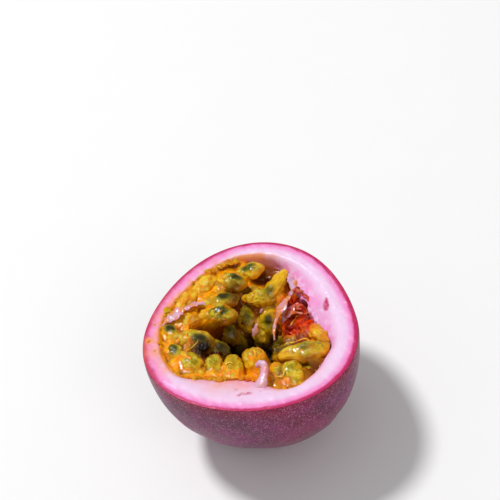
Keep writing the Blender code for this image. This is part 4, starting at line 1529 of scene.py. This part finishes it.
def make_world():
    world = bpy.data.worlds.new("studio")
    world.use_nodes = True
    background = world.node_tree.nodes["Background"]
    background.inputs["Color"].default_value = (1, 1, 1, 1)
    background.inputs["Strength"].default_value = 0.36
    bpy.context.scene.world = world


class FruitOperator:
    """What the operators share: the form, and the sizes and colours of the scene."""

    bl_options = {"REGISTER", "UNDO"}

    def values(self, context):
        sizes = context.scene.half_sizes
        return Form(sizes), sizes, context.scene.half_colours


class FRUIT_OT_peel(FruitOperator, bpy.types.Operator):
    """Adds the bowl of skin and pith, and its loose strand"""

    bl_idname = "fruit.peel"
    bl_label = "Peel"

    def execute(self, context):
        form, sizes, colours = self.values(context)
        for piece in (make_bowl(form, sizes, colours), make_strand(form, colours)):
            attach(piece, "root")
            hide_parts("peel")
        return {"FINISHED"}


class FRUIT_OT_pulp(FruitOperator, bpy.types.Operator):
    """Adds the bed, the juice sacs and the seeds"""

    bl_idname = "fruit.pulp"
    bl_label = "Pulp"

    def execute(self, context):
        form, sizes, colours = self.values(context)
        for piece in (
            make_bed(form, colours),
            make_sacs(form, sizes, colours),
            make_seeds(form, sizes, colours),
        ):
            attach(piece, "root")
            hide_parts("pulp")
        return {"FINISHED"}


class FRUIT_OT_loose_parts(FruitOperator, bpy.types.Operator):
    """Adds the torn skins, the threads of the pulp and the loose drops of juice"""

    bl_idname = "fruit.loose_parts"
    bl_label = "Loose parts"

    def execute(self, context):
        form, _, colours = self.values(context)
        for piece, slot in (
            (make_torn_skins(form, colours), "skin_and_pith"),
            (make_fibres(form, colours), "juice_sacs"),
            (make_drops(form, colours), "juice_sacs"),
        ):
            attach(piece, "root")
        return {"FINISHED"}


class FRUIT_OT_stage(FruitOperator, bpy.types.Operator):
    """Adds the floor, the lights, the world and the camera"""

    bl_idname = "fruit.stage"
    bl_label = "Stage"

    def execute(self, context):
        form, _, colours = self.values(context)
        make_floor(colours)
        make_light("key", (-0.55, 0.45, 1.5), (0, 0, 0.03), 0.3, 18.0)
        make_light("fill", (0.7, -1.4, 1.2), (0, 0, 0.02), 1.2, 5.5)
        make_world()
        make_camera(form)
        context.scene.view_settings.view_transform = "Standard"
        return {"FINISHED"}


class FRUIT_PT_panel(bpy.types.Panel):
    """Sizes, colours and the buttons that build the pieces"""

    bl_idname = "FRUIT_PT_panel"
    bl_label = "Passion fruit half"
    bl_space_type = "VIEW_3D"
    bl_region_type = "UI"
    bl_category = "Fruit"

    def draw(self, context):
        for group in (context.scene.half_sizes, context.scene.half_colours):
            column = self.layout.column(align=True)
            for name in group.__annotations__:
                column.prop(group, name)
        for operator in OPERATORS:
            self.layout.operator(operator.bl_idname)


OPERATORS = (FRUIT_OT_peel, FRUIT_OT_pulp, FRUIT_OT_loose_parts, FRUIT_OT_stage)
CLASSES = (HalfSizes, HalfColours, *OPERATORS, FRUIT_PT_panel)


def register():
    for cls in CLASSES:
        bpy.utils.register_class(cls)
    bpy.types.Scene.half_sizes = PointerProperty(type=HalfSizes)
    bpy.types.Scene.half_colours = PointerProperty(type=HalfColours)


def unregister():
    del bpy.types.Scene.half_colours
    del bpy.types.Scene.half_sizes
    for cls in reversed(CLASSES):
        bpy.utils.unregister_class(cls)


def main():
    register()
    bpy.ops.fruit.peel()
    bpy.ops.fruit.pulp()
    bpy.ops.fruit.loose_parts()
    bpy.ops.fruit.stage()


if __name__ == "__main__":
    main()
